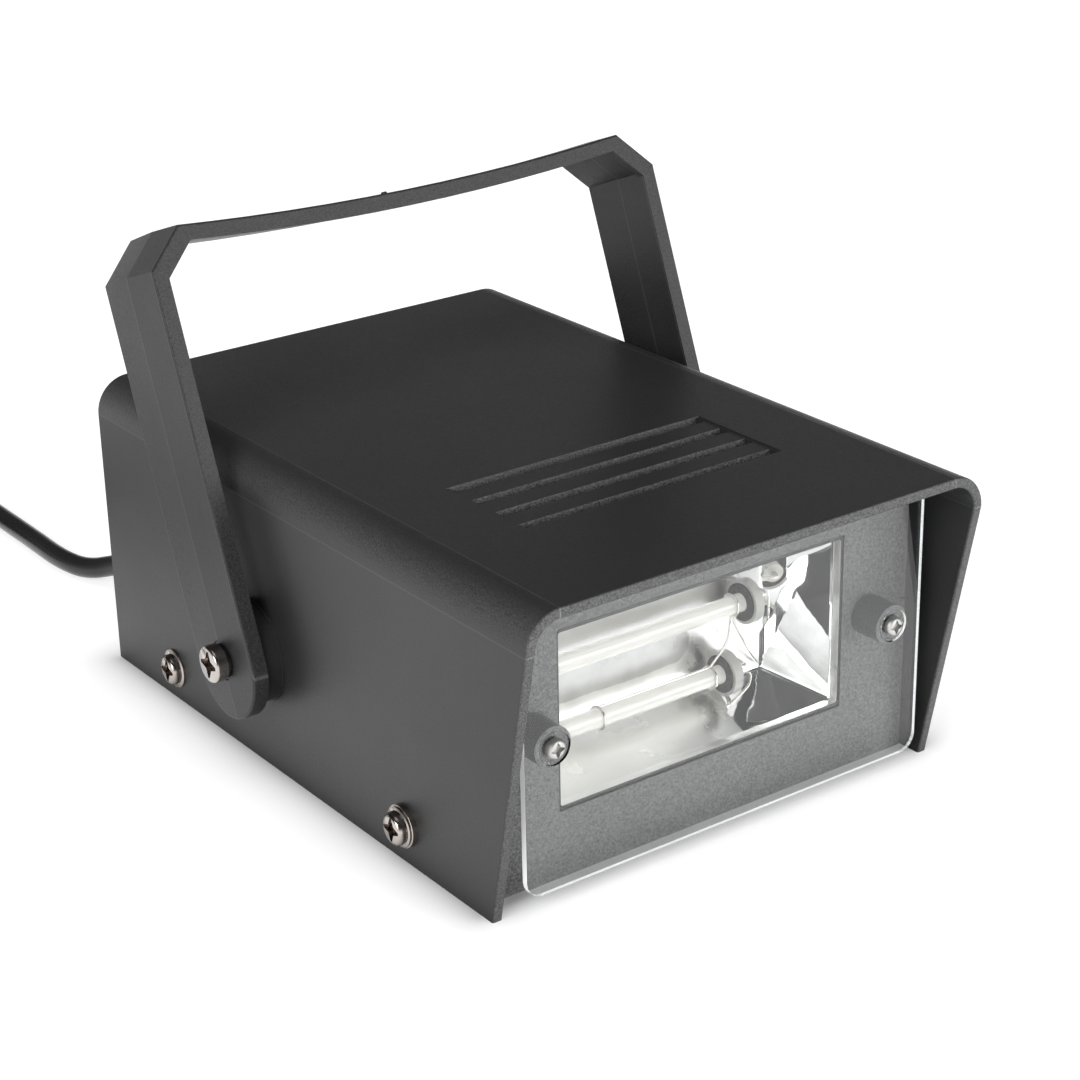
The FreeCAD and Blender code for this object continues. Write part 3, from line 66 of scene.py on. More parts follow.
# ---- Mains lead ----
# A two-core lead in a smooth black rubber sheath, 5.5 mm across, moulded to a flat two-pin plug.
# It leaves the rear wall through a ribbed sleeve and drops to the floor. The rest is wound up in
# two layers, tied, with the plug beside it.
CORD_RADIUS = 0.00275
COIL_CENTRE = (-0.0828, 0.210)
COIL_LOW = 0.0007 + CORD_RADIUS
COIL_HIGH = COIL_LOW + CORD_RADIUS * math.sqrt(3)
COIL_RADII = np.array([0.0365, 0.0310, 0.0255, 0.02825, 0.03375])
COIL_HEIGHTS = np.array([COIL_LOW, COIL_LOW, COIL_LOW, COIL_HIGH, COIL_HIGH])
COIL_TURNS = 4.5
TURN_POINTS = 16
SPLINE_GAIN = 1.01                 # the smooth lead runs a little inside its points


def coil_turns():
    """Points of the wound turns: going round at even angles, the radius and height change from
    one turn's to the next over the last fifth of each turn."""
    count = int(TURN_POINTS * COIL_TURNS) + 1
    turns = np.arange(count) / TURN_POINTS
    whole = np.minimum(turns.astype(int), len(COIL_RADII) - 1)
    after = np.minimum(whole + 1, len(COIL_RADII) - 1)
    share = np.clip((turns - whole - 0.8) / 0.2, 0, 1)
    share = share * share * (3 - 2 * share)
    radius = (COIL_RADII[whole] * (1 - share) + COIL_RADII[after] * share) * SPLINE_GAIN
    height = COIL_HEIGHTS[whole] * (1 - share) + COIL_HEIGHTS[after] * share
    angle = 2 * np.pi * turns
    return np.stack([COIL_CENTRE[0] + radius * np.cos(angle),
                     COIL_CENTRE[1] + radius * np.sin(angle), height], axis=1)


def metres(points):
    return [tuple(value / 1000 for value in point) for point in points]


plug_x = COIL_CENTRE[0] - COIL_RADII[-1]
route = metres([(-38, 103.95, 9.2), (-38, 114, 9.2), (-39.6, 124.2, 6.1), (-44.4, 133.4, 2.75),
                (-46.7, 144.8, 2.75), (-46.3, 160, 2.75), (-46.3, 198, 2.75)])
tail = [(plug_x, 0.200, COIL_HIGH), (plug_x - 0.001, 0.187, 0.0062), (plug_x, 0.172, 0.0068)]
cord_points = route + [tuple(point) for point in coil_turns()] + tail
cord_curve = bpy.data.curves.new("mains_lead", "CURVE")
cord_curve.dimensions = "3D"
cord_curve.bevel_depth = 1.0
cord_curve.bevel_resolution = 6
cord_curve.resolution_u = 8
cord_curve.use_fill_caps = True
cord_spline = cord_curve.splines.new("NURBS")
cord_spline.points.add(len(cord_points) - 1)
for place, point in zip(cord_spline.points, cord_points):
    place.co = (*point, 1)
    place.radius = CORD_RADIUS
cord_spline.order_u = 3
cord_spline.use_endpoint_u = True
mains_lead = bpy.data.objects.new("mains_lead", cord_curve)
bpy.context.scene.collection.objects.link(mains_lead)
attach(mains_lead, "housing")
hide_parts("mains_cord", "cord_coil")


def plain_material(name, colour, roughness, metallic=0.0):
    """A Principled surface; every socket named here is a constant until something is linked."""
    material = bpy.data.materials.new(name)
    material.use_nodes = True
    shader = material.node_tree.nodes["Principled BSDF"]
    shader.inputs["Base Color"].default_value = (*colour, 1)
    shader.inputs["Roughness"].default_value = roughness
    shader.inputs["Metallic"].default_value = metallic
    return material, shader


def make_group(name, inputs, outputs):
    """An empty node group with those named sockets, and its input and output nodes."""
    group = bpy.data.node_groups.new(name, "ShaderNodeTree")
    for label, kind, value in inputs:
        socket = group.interface.new_socket(label, in_out="INPUT", socket_type=kind)
        socket.default_value = value
    for label, kind in outputs:
        group.interface.new_socket(label, in_out="OUTPUT", socket_type=kind)
    start = group.nodes.new("NodeGroupInput")
    end = group.nodes.new("NodeGroupOutput")
    return group, start, end


def math_node(group, operation, first, second=None, third=None):
    """One Math node; each operand is a number or another node's socket."""
    node = group.nodes.new("ShaderNodeMath")
    node.operation = operation
    for socket, value in zip(node.inputs, (first, second, third)):
        if value is None:
            continue
        if isinstance(value, (int, float)):
            socket.default_value = value
        else:
            group.links.new(value, socket)
    return node.outputs[0]


def noise_node(group, vector, scale, detail=2.0, roughness=0.5):
    node = group.nodes.new("ShaderNodeTexNoise")
    node.inputs["Detail"].default_value = detail
    node.inputs["Roughness"].default_value = roughness
    if isinstance(scale, (int, float)):
        node.inputs["Scale"].default_value = scale
    else:
        group.links.new(scale, node.inputs["Scale"])
    group.links.new(vector, node.inputs["Vector"])
    return node.outputs["Fac"]


def object_place(tree):
    """The place of a point in its piece's own coordinates, a vector."""
    return tree.nodes.new("ShaderNodeTexCoord").outputs["Object"]


def split(tree, vector):
    """The outputs X, Y and Z of a vector."""
    parts = tree.nodes.new("ShaderNodeSeparateXYZ")
    tree.links.new(vector, parts.inputs[0])
    return parts.outputs


def scaled(tree, colour, factor):
    """A constant or linked colour times a factor."""
    node = tree.nodes.new("ShaderNodeVectorMath")
    node.operation = "SCALE"
    if isinstance(colour, tuple):
        node.inputs[0].default_value = colour
    else:
        tree.links.new(colour, node.inputs[0])
    tree.links.new(factor, node.inputs["Scale"])
    return node.outputs[0]


def paint_over(tree, mask, under, over):
    """The linked colour under, and the constant colour over where the mask is 1."""
    mix = tree.nodes.new("ShaderNodeMix")
    mix.data_type = "RGBA"
    tree.links.new(mask, mix.inputs[0])
    tree.links.new(under, mix.inputs[6])
    mix.inputs[7].default_value = (*over, 1)
    return mix.outputs[2]


def add_bump(tree, height, depth):
    """Raises the tree's surface by the height times the depth, in its shading only."""
    bump = tree.nodes.new("ShaderNodeBump")
    bump.inputs["Strength"].default_value = 1.0
    bump.inputs["Distance"].default_value = depth
    tree.links.new(height, bump.inputs["Height"])
    tree.links.new(bump.outputs["Normal"], tree.nodes["Principled BSDF"].inputs["Normal"])


# The moulded surface every plastic and rubber piece has: a fine grain, and slow cloudy changes
# of tone and gloss. Height is the grain about 0.5, stronger on rounded edges and on faces to the
# front by the edge input. Those are painted paler too, as painted light: a painted sheen on rounded
# edges by the edge input and a painted front light on faces to the front by the front input, both
# speckled by the grain.
ROUNDED_WEIGHT = 3.0               # how soon a rounded edge counts as fully rounded
SPECKLE = 4.5                      # how much the grain speckles the paler parts
CLOUD_TONE = 4.0                   # the clouds' tone per unit of Tone Change
CLOUD_GLOSS = 0.2
LEAST_TONE = 0.2
grain_group, grain_in, grain_out = make_group(
    "moulded_grain",
    [("Grain Size", "NodeSocketFloat", 0.0004), ("Cloud Size", "NodeSocketFloat", 0.03),
     ("Tone Change", "NodeSocketFloat", 0.1), ("Sparkle", "NodeSocketFloat", 0.2),
     ("Edge Grain And Painted Sheen", "NodeSocketFloat", 1.0), ("Painted Front Light", "NodeSocketFloat", 0.0),
     ("Colour", "NodeSocketColor", (0.05, 0.05, 0.05, 1)), ("Roughness", "NodeSocketFloat", 0.5)],
    [("Height", "NodeSocketFloat"), ("Colour", "NodeSocketColor"),
     ("Roughness", "NodeSocketFloat")])
grain_math = partial(math_node, grain_group)
grain_set = grain_in.outputs
grain_coordinates = grain_group.nodes.new("ShaderNodeTexCoord")
grain_place = grain_coordinates.outputs["Object"]
grain_scale = grain_math("DIVIDE", 1.0, grain_set["Grain Size"])
cloud_scale = grain_math("DIVIDE", 1.0, grain_set["Cloud Size"])
grain = grain_math("SUBTRACT", noise_node(grain_group, grain_place, grain_scale, 2.0, 0.7), 0.5)
cloud = grain_math("SUBTRACT", noise_node(grain_group, grain_place, cloud_scale, 4.0, 0.55), 0.5)
side_part, front_part, top_part = split(grain_group, grain_coordinates.outputs["Normal"])
rounded = grain_math("ABSOLUTE", grain_math("MULTIPLY", side_part, top_part))
facing = grain_math("MAXIMUM", grain_math("MULTIPLY", front_part, -1.0), 0.0)
deeper = grain_math("MINIMUM", grain_math("MULTIPLY_ADD", rounded, ROUNDED_WEIGHT, facing), 1.0)
gain = grain_math("MULTIPLY_ADD", deeper, grain_set["Edge Grain And Painted Sheen"], 1.0)
cloud_tone = grain_math("MULTIPLY", grain_set["Tone Change"], CLOUD_TONE)
tone = grain_math("MULTIPLY_ADD", cloud, cloud_tone, 1.0)
# Painted light: faces to the front get a painted front light and rounded edges a painted sheen.
painted_edge_sheen = grain_math("ABSOLUTE", grain_math("MULTIPLY", side_part, rounded))
painted_light = grain_math("MULTIPLY_ADD", grain_math("POWER", facing, 2.0), grain_set["Painted Front Light"],
                   grain_math("MULTIPLY", painted_edge_sheen, grain_set["Edge Grain And Painted Sheen"]))
painted_light = grain_math("MULTIPLY_ADD", painted_light, grain_math("MULTIPLY_ADD", grain, SPECKLE, 1.0), 1.0)
tone = grain_math("MULTIPLY", tone, grain_math("MAXIMUM", painted_light, LEAST_TONE))
rough = grain_math("MULTIPLY_ADD", cloud, CLOUD_GLOSS, grain_set["Roughness"])
rough = grain_math("MULTIPLY_ADD", grain, grain_set["Sparkle"], rough)
for label, socket in (("Height", grain_math("MULTIPLY_ADD", grain, gain, 0.5)),
                      ("Colour", scaled(grain_group, grain_set["Colour"], tone)),
                      ("Roughness", rough)):
    grain_group.links.new(socket, grain_out.inputs[label])


def moulded(name, colour, roughness, grain_size=0.0004, depth=0.00004, cloud_size=0.03,
            tone_change=0.1, specular=0.32, sparkle=0.2, edge_grain_and_painted_sheen=0.0, painted_front_light=0.0):
    """A moulded plastic or rubber: the grain group feeds colour, gloss and a bump of that depth."""
    material, shader = plain_material(name, colour, roughness)
    shader.inputs["Specular IOR Level"].default_value = specular
    tree = material.node_tree
    texture = tree.nodes.new("ShaderNodeGroup")
    texture.name = "grain"
    texture.node_tree = grain_group
    for label, value in (("Grain Size", grain_size), ("Cloud Size", cloud_size),
                         ("Tone Change", tone_change), ("Sparkle", sparkle),
                         ("Edge Grain And Painted Sheen", edge_grain_and_painted_sheen), ("Painted Front Light", painted_front_light),
                         ("Colour", (*colour, 1)), ("Roughness", roughness)):
        texture.inputs[label].default_value = value
    add_bump(tree, texture.outputs["Height"], depth)
    tree.links.new(texture.outputs["Colour"], shader.inputs["Base Color"])
    tree.links.new(texture.outputs["Roughness"], shader.inputs["Roughness"])
    return material


def dress(node, material):
    """Gives a carried-over piece its finish."""
    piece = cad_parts[node]
    piece.data.materials.clear()
    piece.data.materials.append(material)


def metal(name, colour, roughness, scratch_size=0.0006, change=0.12, axes=(), swell=0.0):
    """A plated or drawn metal: its gloss and tone change with a fine noise. The faces of screws
    that lie across are swelled round each axis (y, z): the height falls by swell r^2 at the
    distance r from the nearest axis."""
    material, shader = plain_material(name, colour, roughness, 1.0)
    tree = material.node_tree
    place = object_place(tree)
    scratch = math_node(tree, "SUBTRACT", noise_node(tree, place, 1 / scratch_size, 4.0, 0.65), 0.5)
    tree.links.new(math_node(tree, "MULTIPLY_ADD", scratch, 2 * change, roughness),
                   shader.inputs["Roughness"])
    tone = math_node(tree, "MULTIPLY_ADD", scratch, 2 * change, 1.0)
    tree.links.new(scaled(tree, colour, tone), shader.inputs["Base Color"])
    if axes:
        parts = split(tree, place)
        squares = []
        for y, z in axes:
            along = math_node(tree, "SUBTRACT", parts["Y"], y)
            up = math_node(tree, "SUBTRACT", parts["Z"], z)
            squares.append(math_node(tree, "MULTIPLY_ADD", along, along,
                                     math_node(tree, "MULTIPLY", up, up)))
        nearest = reduce(partial(math_node, tree, "MINIMUM"), squares)
        depth = 0.001
        add_bump(tree, math_node(tree, "MULTIPLY", nearest, -swell / depth), depth)
    return material


lead_sheath = moulded("lead_sheath", (0.018, 0.018, 0.019), 0.30, 0.0009, 0.00001, 0.02, 0.08)
cord_curve.materials.append(lead_sheath)
dress("strain_relief", moulded("sleeve_rubber", (0.024, 0.024, 0.025), 0.5, 0.0005, 0.00003))
dress("cord_tie", moulded("tie_plastic", (0.03, 0.03, 0.031), 0.4, 0.0006, 0.00002))
dress("plug_body", moulded("plug_plastic", (0.024, 0.024, 0.025), 0.48, 0.0005, 0.00003))
dress("plug_pins", metal("plug_pin_plating", (0.72, 0.70, 0.66), 0.22))

# ---- Floor and light ----
# A seamless white table that glows a little as the lens sees it and in reflections, less and
# less near the housing's foot, which is a painted contact shadow. It stands in a surround that is
# white low down and dim above, as under a flagged studio ceiling.
FLOOR_HALF = 4.0
floor_corners = [(x * FLOOR_HALF, y * FLOOR_HALF, 0)
                 for x, y in ((-1, -1), (1, -1), (1, 1), (-1, 1))]
floor_mesh = bpy.data.meshes.new("table")
floor_mesh.from_pydata(floor_corners, [], [(0, 1, 2, 3)])
floor = bpy.data.objects.new("table", floor_mesh)
bpy.context.scene.collection.objects.link(floor)
floor_material, floor_shader = plain_material("table_white", (0.6, 0.6, 0.6), 0.9)
floor_shader.inputs["Specular IOR Level"].default_value = 0.0
floor_tree = floor_material.node_tree
floor_math = partial(math_node, floor_tree)
floor_axes = split(floor_tree, object_place(floor_tree))
GLOW_LEAST, GLOW_MORE, GLOW_REACH = 0.055, 0.605, 0.0055
GLOSS_GLOW = 1.7                   # how much stronger the glow is in reflections
FOOT = (0.060, -0.068, 0.084)      # half width, front and rear of the glow's rectangle
GLOSS_FOOT = (0.061, -0.080, 0.085)


def floor_fade(half_width, front, rear):
    """The glow at a point of the floor, with a painted contact shadow: it fades exponentially with
    the distance from a rectangle, from its full level far away down to the least at the rectangle's
    edge."""
    across = floor_math("ABSOLUTE", floor_axes["X"])
    across = floor_math("MAXIMUM", floor_math("SUBTRACT", across, half_width), 0.0)
    along = floor_math("ABSOLUTE", floor_math("SUBTRACT", floor_axes["Y"], (front + rear) / 2))
    along = floor_math("MAXIMUM", floor_math("SUBTRACT", along, (rear - front) / 2), 0.0)
    away = floor_math("SQRT", floor_math("MULTIPLY_ADD", across, across,
                                         floor_math("MULTIPLY", along, along)))
    fade = floor_math("EXPONENT", floor_math("MULTIPLY", away, -1 / GLOW_REACH))
    return floor_math("MULTIPLY_ADD", fade, -GLOW_MORE, GLOW_LEAST + GLOW_MORE)


def ray_kinds(tree):
    """1 for a ray straight from the lens, and 1 for one that came by gloss or through glass."""
    rays = tree.nodes.new("ShaderNodeLightPath").outputs
    return rays["Is Camera Ray"], math_node(tree, "MAXIMUM", rays["Is Glossy Ray"],
                                            rays["Is Transmission Ray"])


# Painted contact shadow: the glow falls off round the foot, for the lens and in reflections.
glow = floor_fade(*FOOT)
gloss_glow = floor_math("MULTIPLY", floor_fade(*GLOSS_FOOT), GLOSS_GLOW)
seen, reflected = ray_kinds(floor_tree)
floor_glow = floor_math("MULTIPLY_ADD", reflected, gloss_glow, floor_math("MULTIPLY", seen, glow))
floor_shader.inputs["Emission Color"].default_value = (1, 1, 1, 1)
floor_tree.links.new(floor_glow, floor_shader.inputs["Emission Strength"])
floor_mesh.materials.append(floor_material)

world = bpy.data.worlds.new("surround")
bpy.context.scene.world = world
world.use_nodes = True
world_tree = world.node_tree
surround = world_tree.nodes["Background"]
surround.inputs["Color"].default_value = (1, 1, 1, 1)
DIFFUSE_LEVEL = 0.45               # what lights the object
LOW_LEVEL, DIM_LEVEL = 1.15, 0.02  # what its gloss sees low down and above
LOW_EDGE, HIGH_EDGE = 0.0, 0.36    # heights of the ray's direction between which it dims
direction = world_tree.nodes.new("ShaderNodeTexCoord").outputs["Generated"]
dimmer = world_tree.nodes.new("ShaderNodeMapRange")
dimmer.interpolation_type = "SMOOTHSTEP"
for label, value in (("From Min", LOW_EDGE), ("From Max", HIGH_EDGE),
                     ("To Min", LOW_LEVEL), ("To Max", DIM_LEVEL)):
    dimmer.inputs[label].default_value = value
world_tree.links.new(split(world_tree, direction)["Z"], dimmer.inputs["Value"])
world_math = partial(math_node, world_tree)
seen, reflected = ray_kinds(world_tree)
glossy_more = world_math("MULTIPLY", reflected,
                         world_math("SUBTRACT", dimmer.outputs["Result"], DIFFUSE_LEVEL))
world_level = world_math("MULTIPLY_ADD", seen, 1 - DIFFUSE_LEVEL, DIFFUSE_LEVEL)
world_tree.links.new(world_math("ADD", world_level, glossy_more), surround.inputs["Strength"])


def soft_box(name, place, aim, width, height, power):
    """A rectangular lamp that faces the point it is aimed at."""
    data = bpy.data.lights.new(name, "AREA")
    data.shape = "RECTANGLE"
    data.size = width
    data.size_y = height
    data.energy = power
    lamp = bpy.data.objects.new(name, data)
    lamp.location = place
    lamp.rotation_euler = (Vector(aim) - Vector(place)).to_track_quat("-Z", "Y").to_euler()
    bpy.context.scene.collection.objects.link(lamp)


soft_box("soft_box_left", (-1.3, -0.5, 0.75), (0, 0, 0.04), 0.9, 0.9, 16)
soft_box("soft_box_front", (0.75, -1.35, 0.45), (0, 0, 0.04), 0.9, 0.6, 12)
soft_box("soft_box_top", (0.1, -0.1, 1.4), (0, 0, 0), 0.9, 0.9, 2.5)

# ---- Cover ----
# The top, sides and hood are one injection-moulded shell of black plastic with a spark-eroded
# grain. It drops over the tray and four screws hold it. A faint line from the mould runs along
# each side of its rounded top edges. Its faces to the front and its rounded edges are painted
# paler, as painted light.
def line_mask(tree, normal, offset, width):
    """1 on the plane where place . normal = offset, falling to 0 at that width from it."""
    along = tree.nodes.new("ShaderNodeVectorMath")
    along.operation = "DOT_PRODUCT"
    along.inputs[1].default_value = normal
    tree.links.new(object_place(tree), along.inputs[0])
    away = math_node(tree, "SUBTRACT", along.outputs["Value"], offset)
    away = math_node(tree, "ABSOLUTE", away)
    return math_node(tree, "MAXIMUM", math_node(tree, "MULTIPLY_ADD", away, -1 / width, 1.0), 0.0)


def add_lines(material, masks, lighter):
    """Where a mask is 1 the colour is multiplied by 1 + lighter."""
    tree = material.node_tree
    total = reduce(partial(math_node, tree, "MAXIMUM"), masks)
    lined = scaled(tree, tree.nodes["grain"].outputs["Colour"],
                   math_node(tree, "MULTIPLY_ADD", total, lighter, 1.0))
    tree.links.new(lined, tree.nodes["Principled BSDF"].inputs["Base Color"])


# Painted light: faces to the front and rounded edges are made paler.
cover_plastic = moulded("cover_plastic", (0.022, 0.022, 0.0225), 0.44, 0.00038, 0.00004, 0.05, 0.10,
                        sparkle=0.3, edge_grain_and_painted_sheen=2.6, painted_front_light=3.8)
ROUND_START = (0.0517, 0.0637)     # where the top's and a side's flat ends
COVER_LINE, COVER_LIGHTER = 0.00025, 1.2
add_lines(cover_plastic, [line_mask(cover_plastic.node_tree, normal, offset, COVER_LINE)
                          for normal, offset in (((1, 0, 0), ROUND_START[0]),
                                                 ((-1, 0, 0), ROUND_START[0]),
                                                 ((0, 0, 1), ROUND_START[1]))], COVER_LIGHTER)
dress("top_cover", cover_plastic)

# ---- Base tray ----
# Floor, window wall, rear wall and low sides are a second moulding, its black a little paler, with
# bosses for the clear plate, the board and the cover's screws.
# Its faces to the front are painted paler, as painted light.
dress("base_tray", moulded("tray_plastic", (0.072, 0.072, 0.072), 0.5, 0.00048, 0.00003, 0.04, 0.08,
                           edge_grain_and_painted_sheen=0.1, painted_front_light=1.5))

# ---- Mirror trough ----
# A thin black plastic bowl, vacuum-metallised inside: flared walls round a flat back, rounded
# folds, a lip that lines the window's opening with its end left bare, and a rim behind the wall.
# The film is sharp on the right wing, which is dented, and hazy elsewhere. A darker band on the
# back between the tube's legs, and the darker hazy part above the legs, are painted reflections.
LAMP_HEIGHT = 0.036
MOUTH = (0.0379, 0.0195)           # half width and half height inside the lip
LIP_END = (0.0383, 0.0203)         # the same round the lip's end
BACK = (0.0286, 0.0139)
RIM = (0.0448, 0.0268)
LIP_Y, WALL_Y, BACK_Y = -0.0657, -0.0635, -0.04995
SHEET = 0.0006
FOLD = 0.0012                      # radius where the back meets the flared walls
CORNER = 0.0006                    # corner radius of the rounded rectangles inside
BACK_INSET = 0.006                 # how far inside the back's edge its innermost ring lies
HOLD = 0.0004                      # distance of the rings that keep a fold narrow


def add_mesh(name, points, faces, smooth=True):
    """A mesh object from an array of points and a list of faces."""
    mesh = bpy.data.meshes.new(name)
    mesh.from_pydata(np.asarray(points).reshape(-1, 3).tolist(), [], faces)
    mesh.update()
    if smooth:
        mesh.polygons.foreach_set("use_smooth", [True] * len(mesh.polygons))
    piece = bpy.data.objects.new(name, mesh)
    bpy.context.scene.collection.objects.link(piece)
    return piece


def grid_faces(rows, columns, wrap=False):
    """Quads between neighbouring rows and columns of a grid; wrap joins the last column to the
    first."""
    row, column = np.meshgrid(np.arange(rows - 1), np.arange(columns if wrap else columns - 1),
                              indexing="ij")
    right = (column + 1) % columns
    quads = np.stack([row * columns + column, row * columns + right,
                      (row + 1) * columns + right, (row + 1) * columns + column], axis=-1)
    return quads.reshape(-1, 4).tolist()


def rounded_ring(half_width, half_height, corner):
    """Points (x, z) round a rectangle: at each corner a quarter circle of that radius about its
    centre, then points along the side to the next corner, two of them close to its ends."""
    quarter = np.linspace(0, np.pi / 2, 6)
    steps = np.array([0.015, 0.2, 0.4, 0.6, 0.8, 0.985])[:, None]
    starts = []
    for turn, (sx, sz) in enumerate(((1, 1), (-1, 1), (-1, -1), (1, -1))):
        angle = quarter + turn * np.pi / 2
        starts.append(np.stack([sx * (half_width - corner) + corner * np.cos(angle),
                                sz * (half_height - corner) + corner * np.sin(angle)], axis=1))
    rows = []
    for turn in range(4):
        first, last = starts[turn][-1], starts[(turn + 1) % 4][0]
        rows += [starts[turn], first * (1 - steps) + last * steps]
    return np.concatenate(rows)


def closed_shell(name, levels):
    """A closed surface through rounded rectangles: each level is (y, half width, half height,
    corner radius); the first and last level are closed with a point at their middle."""
    rings = np.stack([np.column_stack([ring[:, 0], np.full(len(ring), y), ring[:, 1] + LAMP_HEIGHT])
                      for y, ring in ((level[0], rounded_ring(*level[1:])) for level in levels)])
    rows, columns = rings.shape[:2]
    first, last = rows * columns, rows * columns + 1
    points = np.concatenate([rings.reshape(-1, 3), [[0, levels[0][0], LAMP_HEIGHT],
                                                    [0, levels[-1][0], LAMP_HEIGHT]]])
    column = np.arange(columns)
    after = (column + 1) % columns
    fan_first = np.stack([np.full(columns, first), after, column], axis=1)
    base = (rows - 1) * columns
    fan_last = np.stack([np.full(columns, last), base + column, base + after], axis=1)
    faces = grid_faces(rows, columns, wrap=True) + fan_first.tolist() + fan_last.tolist()
    return add_mesh(name, points, faces)


flare = np.array([BACK_Y - WALL_Y, BACK[0] - MOUTH[0], BACK[1] - MOUTH[1]])
fold_turn = np.linspace(0, 1, 6)[:, None]
ahead = np.array([BACK_Y, *BACK])
on_back = ahead - (0, FOLD, FOLD)
down_wall = flare / np.linalg.norm(flare[:2])
on_wall = ahead - down_wall * FOLD
fold = ((1 - fold_turn) ** 2 * on_back + 2 * fold_turn * (1 - fold_turn) * ahead
        + fold_turn ** 2 * on_wall)
near_wall = on_wall - down_wall * HOLD
mouth = np.array([WALL_Y, *MOUTH])
inside = [(BACK_Y, BACK[0] - BACK_INSET, BACK[1] - BACK_INSET, 0.0004),
          (BACK_Y, on_back[1] - HOLD, on_back[2] - HOLD, 0.0004)]
inside += [(*point, CORNER) for point in fold.tolist()]
inside += [(*near_wall, CORNER), (*(mouth + flare * 0.03), CORNER),
           (*(mouth + flare * 0.006), CORNER), (WALL_Y - 0.00015, *MOUTH, CORNER),
           (WALL_Y - HOLD, *MOUTH, CORNER), (LIP_Y + 0.0002, *MOUTH, CORNER),
           (LIP_Y, MOUTH[0] + 0.0001, MOUTH[1] + 0.0001, CORNER)]
outside = [(LIP_Y, *LIP_END, 0.0008), (WALL_Y, *LIP_END, 0.0008),
           (WALL_Y, *RIM, 0.002), (WALL_Y + SHEET, *RIM, 0.002),
           (WALL_Y + SHEET, LIP_END[0] + SHEET, LIP_END[1] + SHEET, 0.001),
           (BACK_Y + SHEET, BACK[0] + SHEET, BACK[1] + SHEET, 0.001),
           (BACK_Y + SHEET, BACK[0] - BACK_INSET, BACK[1] - BACK_INSET, 0.001)]
mirror_bowl = closed_shell("mirror_bowl", inside + outside)
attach(mirror_bowl, "housing")
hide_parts("reflector")


def cut_out(piece, low, high):
    """Cuts a box-shaped opening through a piece and keeps the result as its mesh."""
    corners = [(x, y, z) for x in (low[0], high[0]) for y in (low[1], high[1])
               for z in (low[2], high[2])]
    sides = [(0, 1, 3, 2), (4, 6, 7, 5), (0, 4, 5, 1), (2, 3, 7, 6), (0, 2, 6, 4), (1, 5, 7, 3)]
    cutter = add_mesh("cutter", corners, sides, smooth=False)
    cut = piece.modifiers.new("opening", "BOOLEAN")
    cut.operation = "DIFFERENCE"
    cut.solver = "EXACT"
    cut.object = cutter
    bpy.context.view_layer.update()
    shown = piece.evaluated_get(bpy.context.evaluated_depsgraph_get())
    mesh = bpy.data.meshes.new_from_object(shown)
    piece.modifiers.clear()
    piece.data = mesh
    bpy.data.objects.remove(cutter)


GROMMET_OPENING = ((-0.05, -0.05765, 0.0241), (-0.0279, -0.05225, 0.0450))
cut_out(mirror_bowl, *GROMMET_OPENING)

FILM_COLOUR = (0.88, 0.88, 0.87)
BARE_COLOUR = (0.02, 0.02, 0.02)
mirror_film, mirror_shader = plain_material("mirror_film", FILM_COLOUR, 0.1, 1.0)
mirror_tree = mirror_film.node_tree
film = partial(math_node, mirror_tree)
mirror_place = object_place(mirror_tree)
film_x, film_y, film_z = split(mirror_tree, mirror_place)
film_ahead = film("MULTIPLY", film_y, -1.0)


def film_step(value, low, high):
    """0 where the value is below low, 1 above high, and a smooth change between."""
    step = mirror_tree.nodes.new("ShaderNodeMapRange")
    step.interpolation_type = "SMOOTHSTEP"
    step.inputs["From Min"].default_value = low
    step.inputs["From Max"].default_value = high
    mirror_tree.links.new(value, step.inputs["Value"])
    return step.outputs["Result"]


def film_noise(size, detail, roughness):
    """A noise from -0.5 to 0.5 with features of that size."""
    return film("SUBTRACT", noise_node(mirror_tree, mirror_place, 1 / size, detail, roughness), 0.5)


def without(mask):
    return film("SUBTRACT", 1.0, mask)


# Haze: up to an x on every wall but the lower one, where it stops sooner, and all round the lip.
HAZE_END, FLOOR_HAZE_END, HAZE_BLUR = 0.0286, 0.013, 0.0004
FLOOR_TOP = (0.0219, 0.0223)       # heights between which the lower wall ends
LIP_START = (0.0634, 0.0637)
SHARP_FILM, HAZY_FILM = 0.02, 0.32
FILM_CLOUD, CLOUD_HAZE = 0.009, 0.35
in_floor = without(film_step(film_z, *FLOOR_TOP))
haze_place = film("MULTIPLY_ADD", in_floor, HAZE_END - FLOOR_HAZE_END, film_x)
past_fold = film_step(haze_place, HAZE_END - HAZE_BLUR, HAZE_END + HAZE_BLUR)
haze = film("MAXIMUM", without(past_fold), film_step(film_ahead, *LIP_START))
film_clouds = film_noise(FILM_CLOUD, 3.0, 0.6)
film_rough = film("MULTIPLY_ADD", film_clouds, CLOUD_HAZE, HAZY_FILM - SHARP_FILM)
mirror_tree.links.new(film("MULTIPLY_ADD", film_rough, haze, SHARP_FILM),
                      mirror_shader.inputs["Roughness"])

# Tone: cloudy, with a painted dark reflection in a band on the flat back between the legs, which
# ends in a round nose towards the grommets, and a painted dark reflection above the legs; a little
# lighter on the lower wall.
BAND_HALF, BAND_MIDDLE_Z, BAND_NOSE_X = 0.0046, 0.0345, 0.004
BAND_BLUR, BAND_RAGGED = 0.0003, 0.002
FILM_LEVEL, FILM_CLOUDY, FILM_MOST = 1.06, 0.5, 1.12
PAINTED_BAND_REFLECTION, PAINTED_UPPER_REFLECTION, FLOOR_LIGHTER = 0.40, 0.38, 0.12
UPPER_START = (0.0405, 0.0430)     # heights between which the darker upper part starts
BARE_START = (0.06556, 0.06562)    # distances ahead between which the lip's end is bare
band_out = film("MAXIMUM", film("SUBTRACT", film_x, BAND_NOSE_X), 0.0)
band_up = film("SUBTRACT", film_z, BAND_MIDDLE_Z)
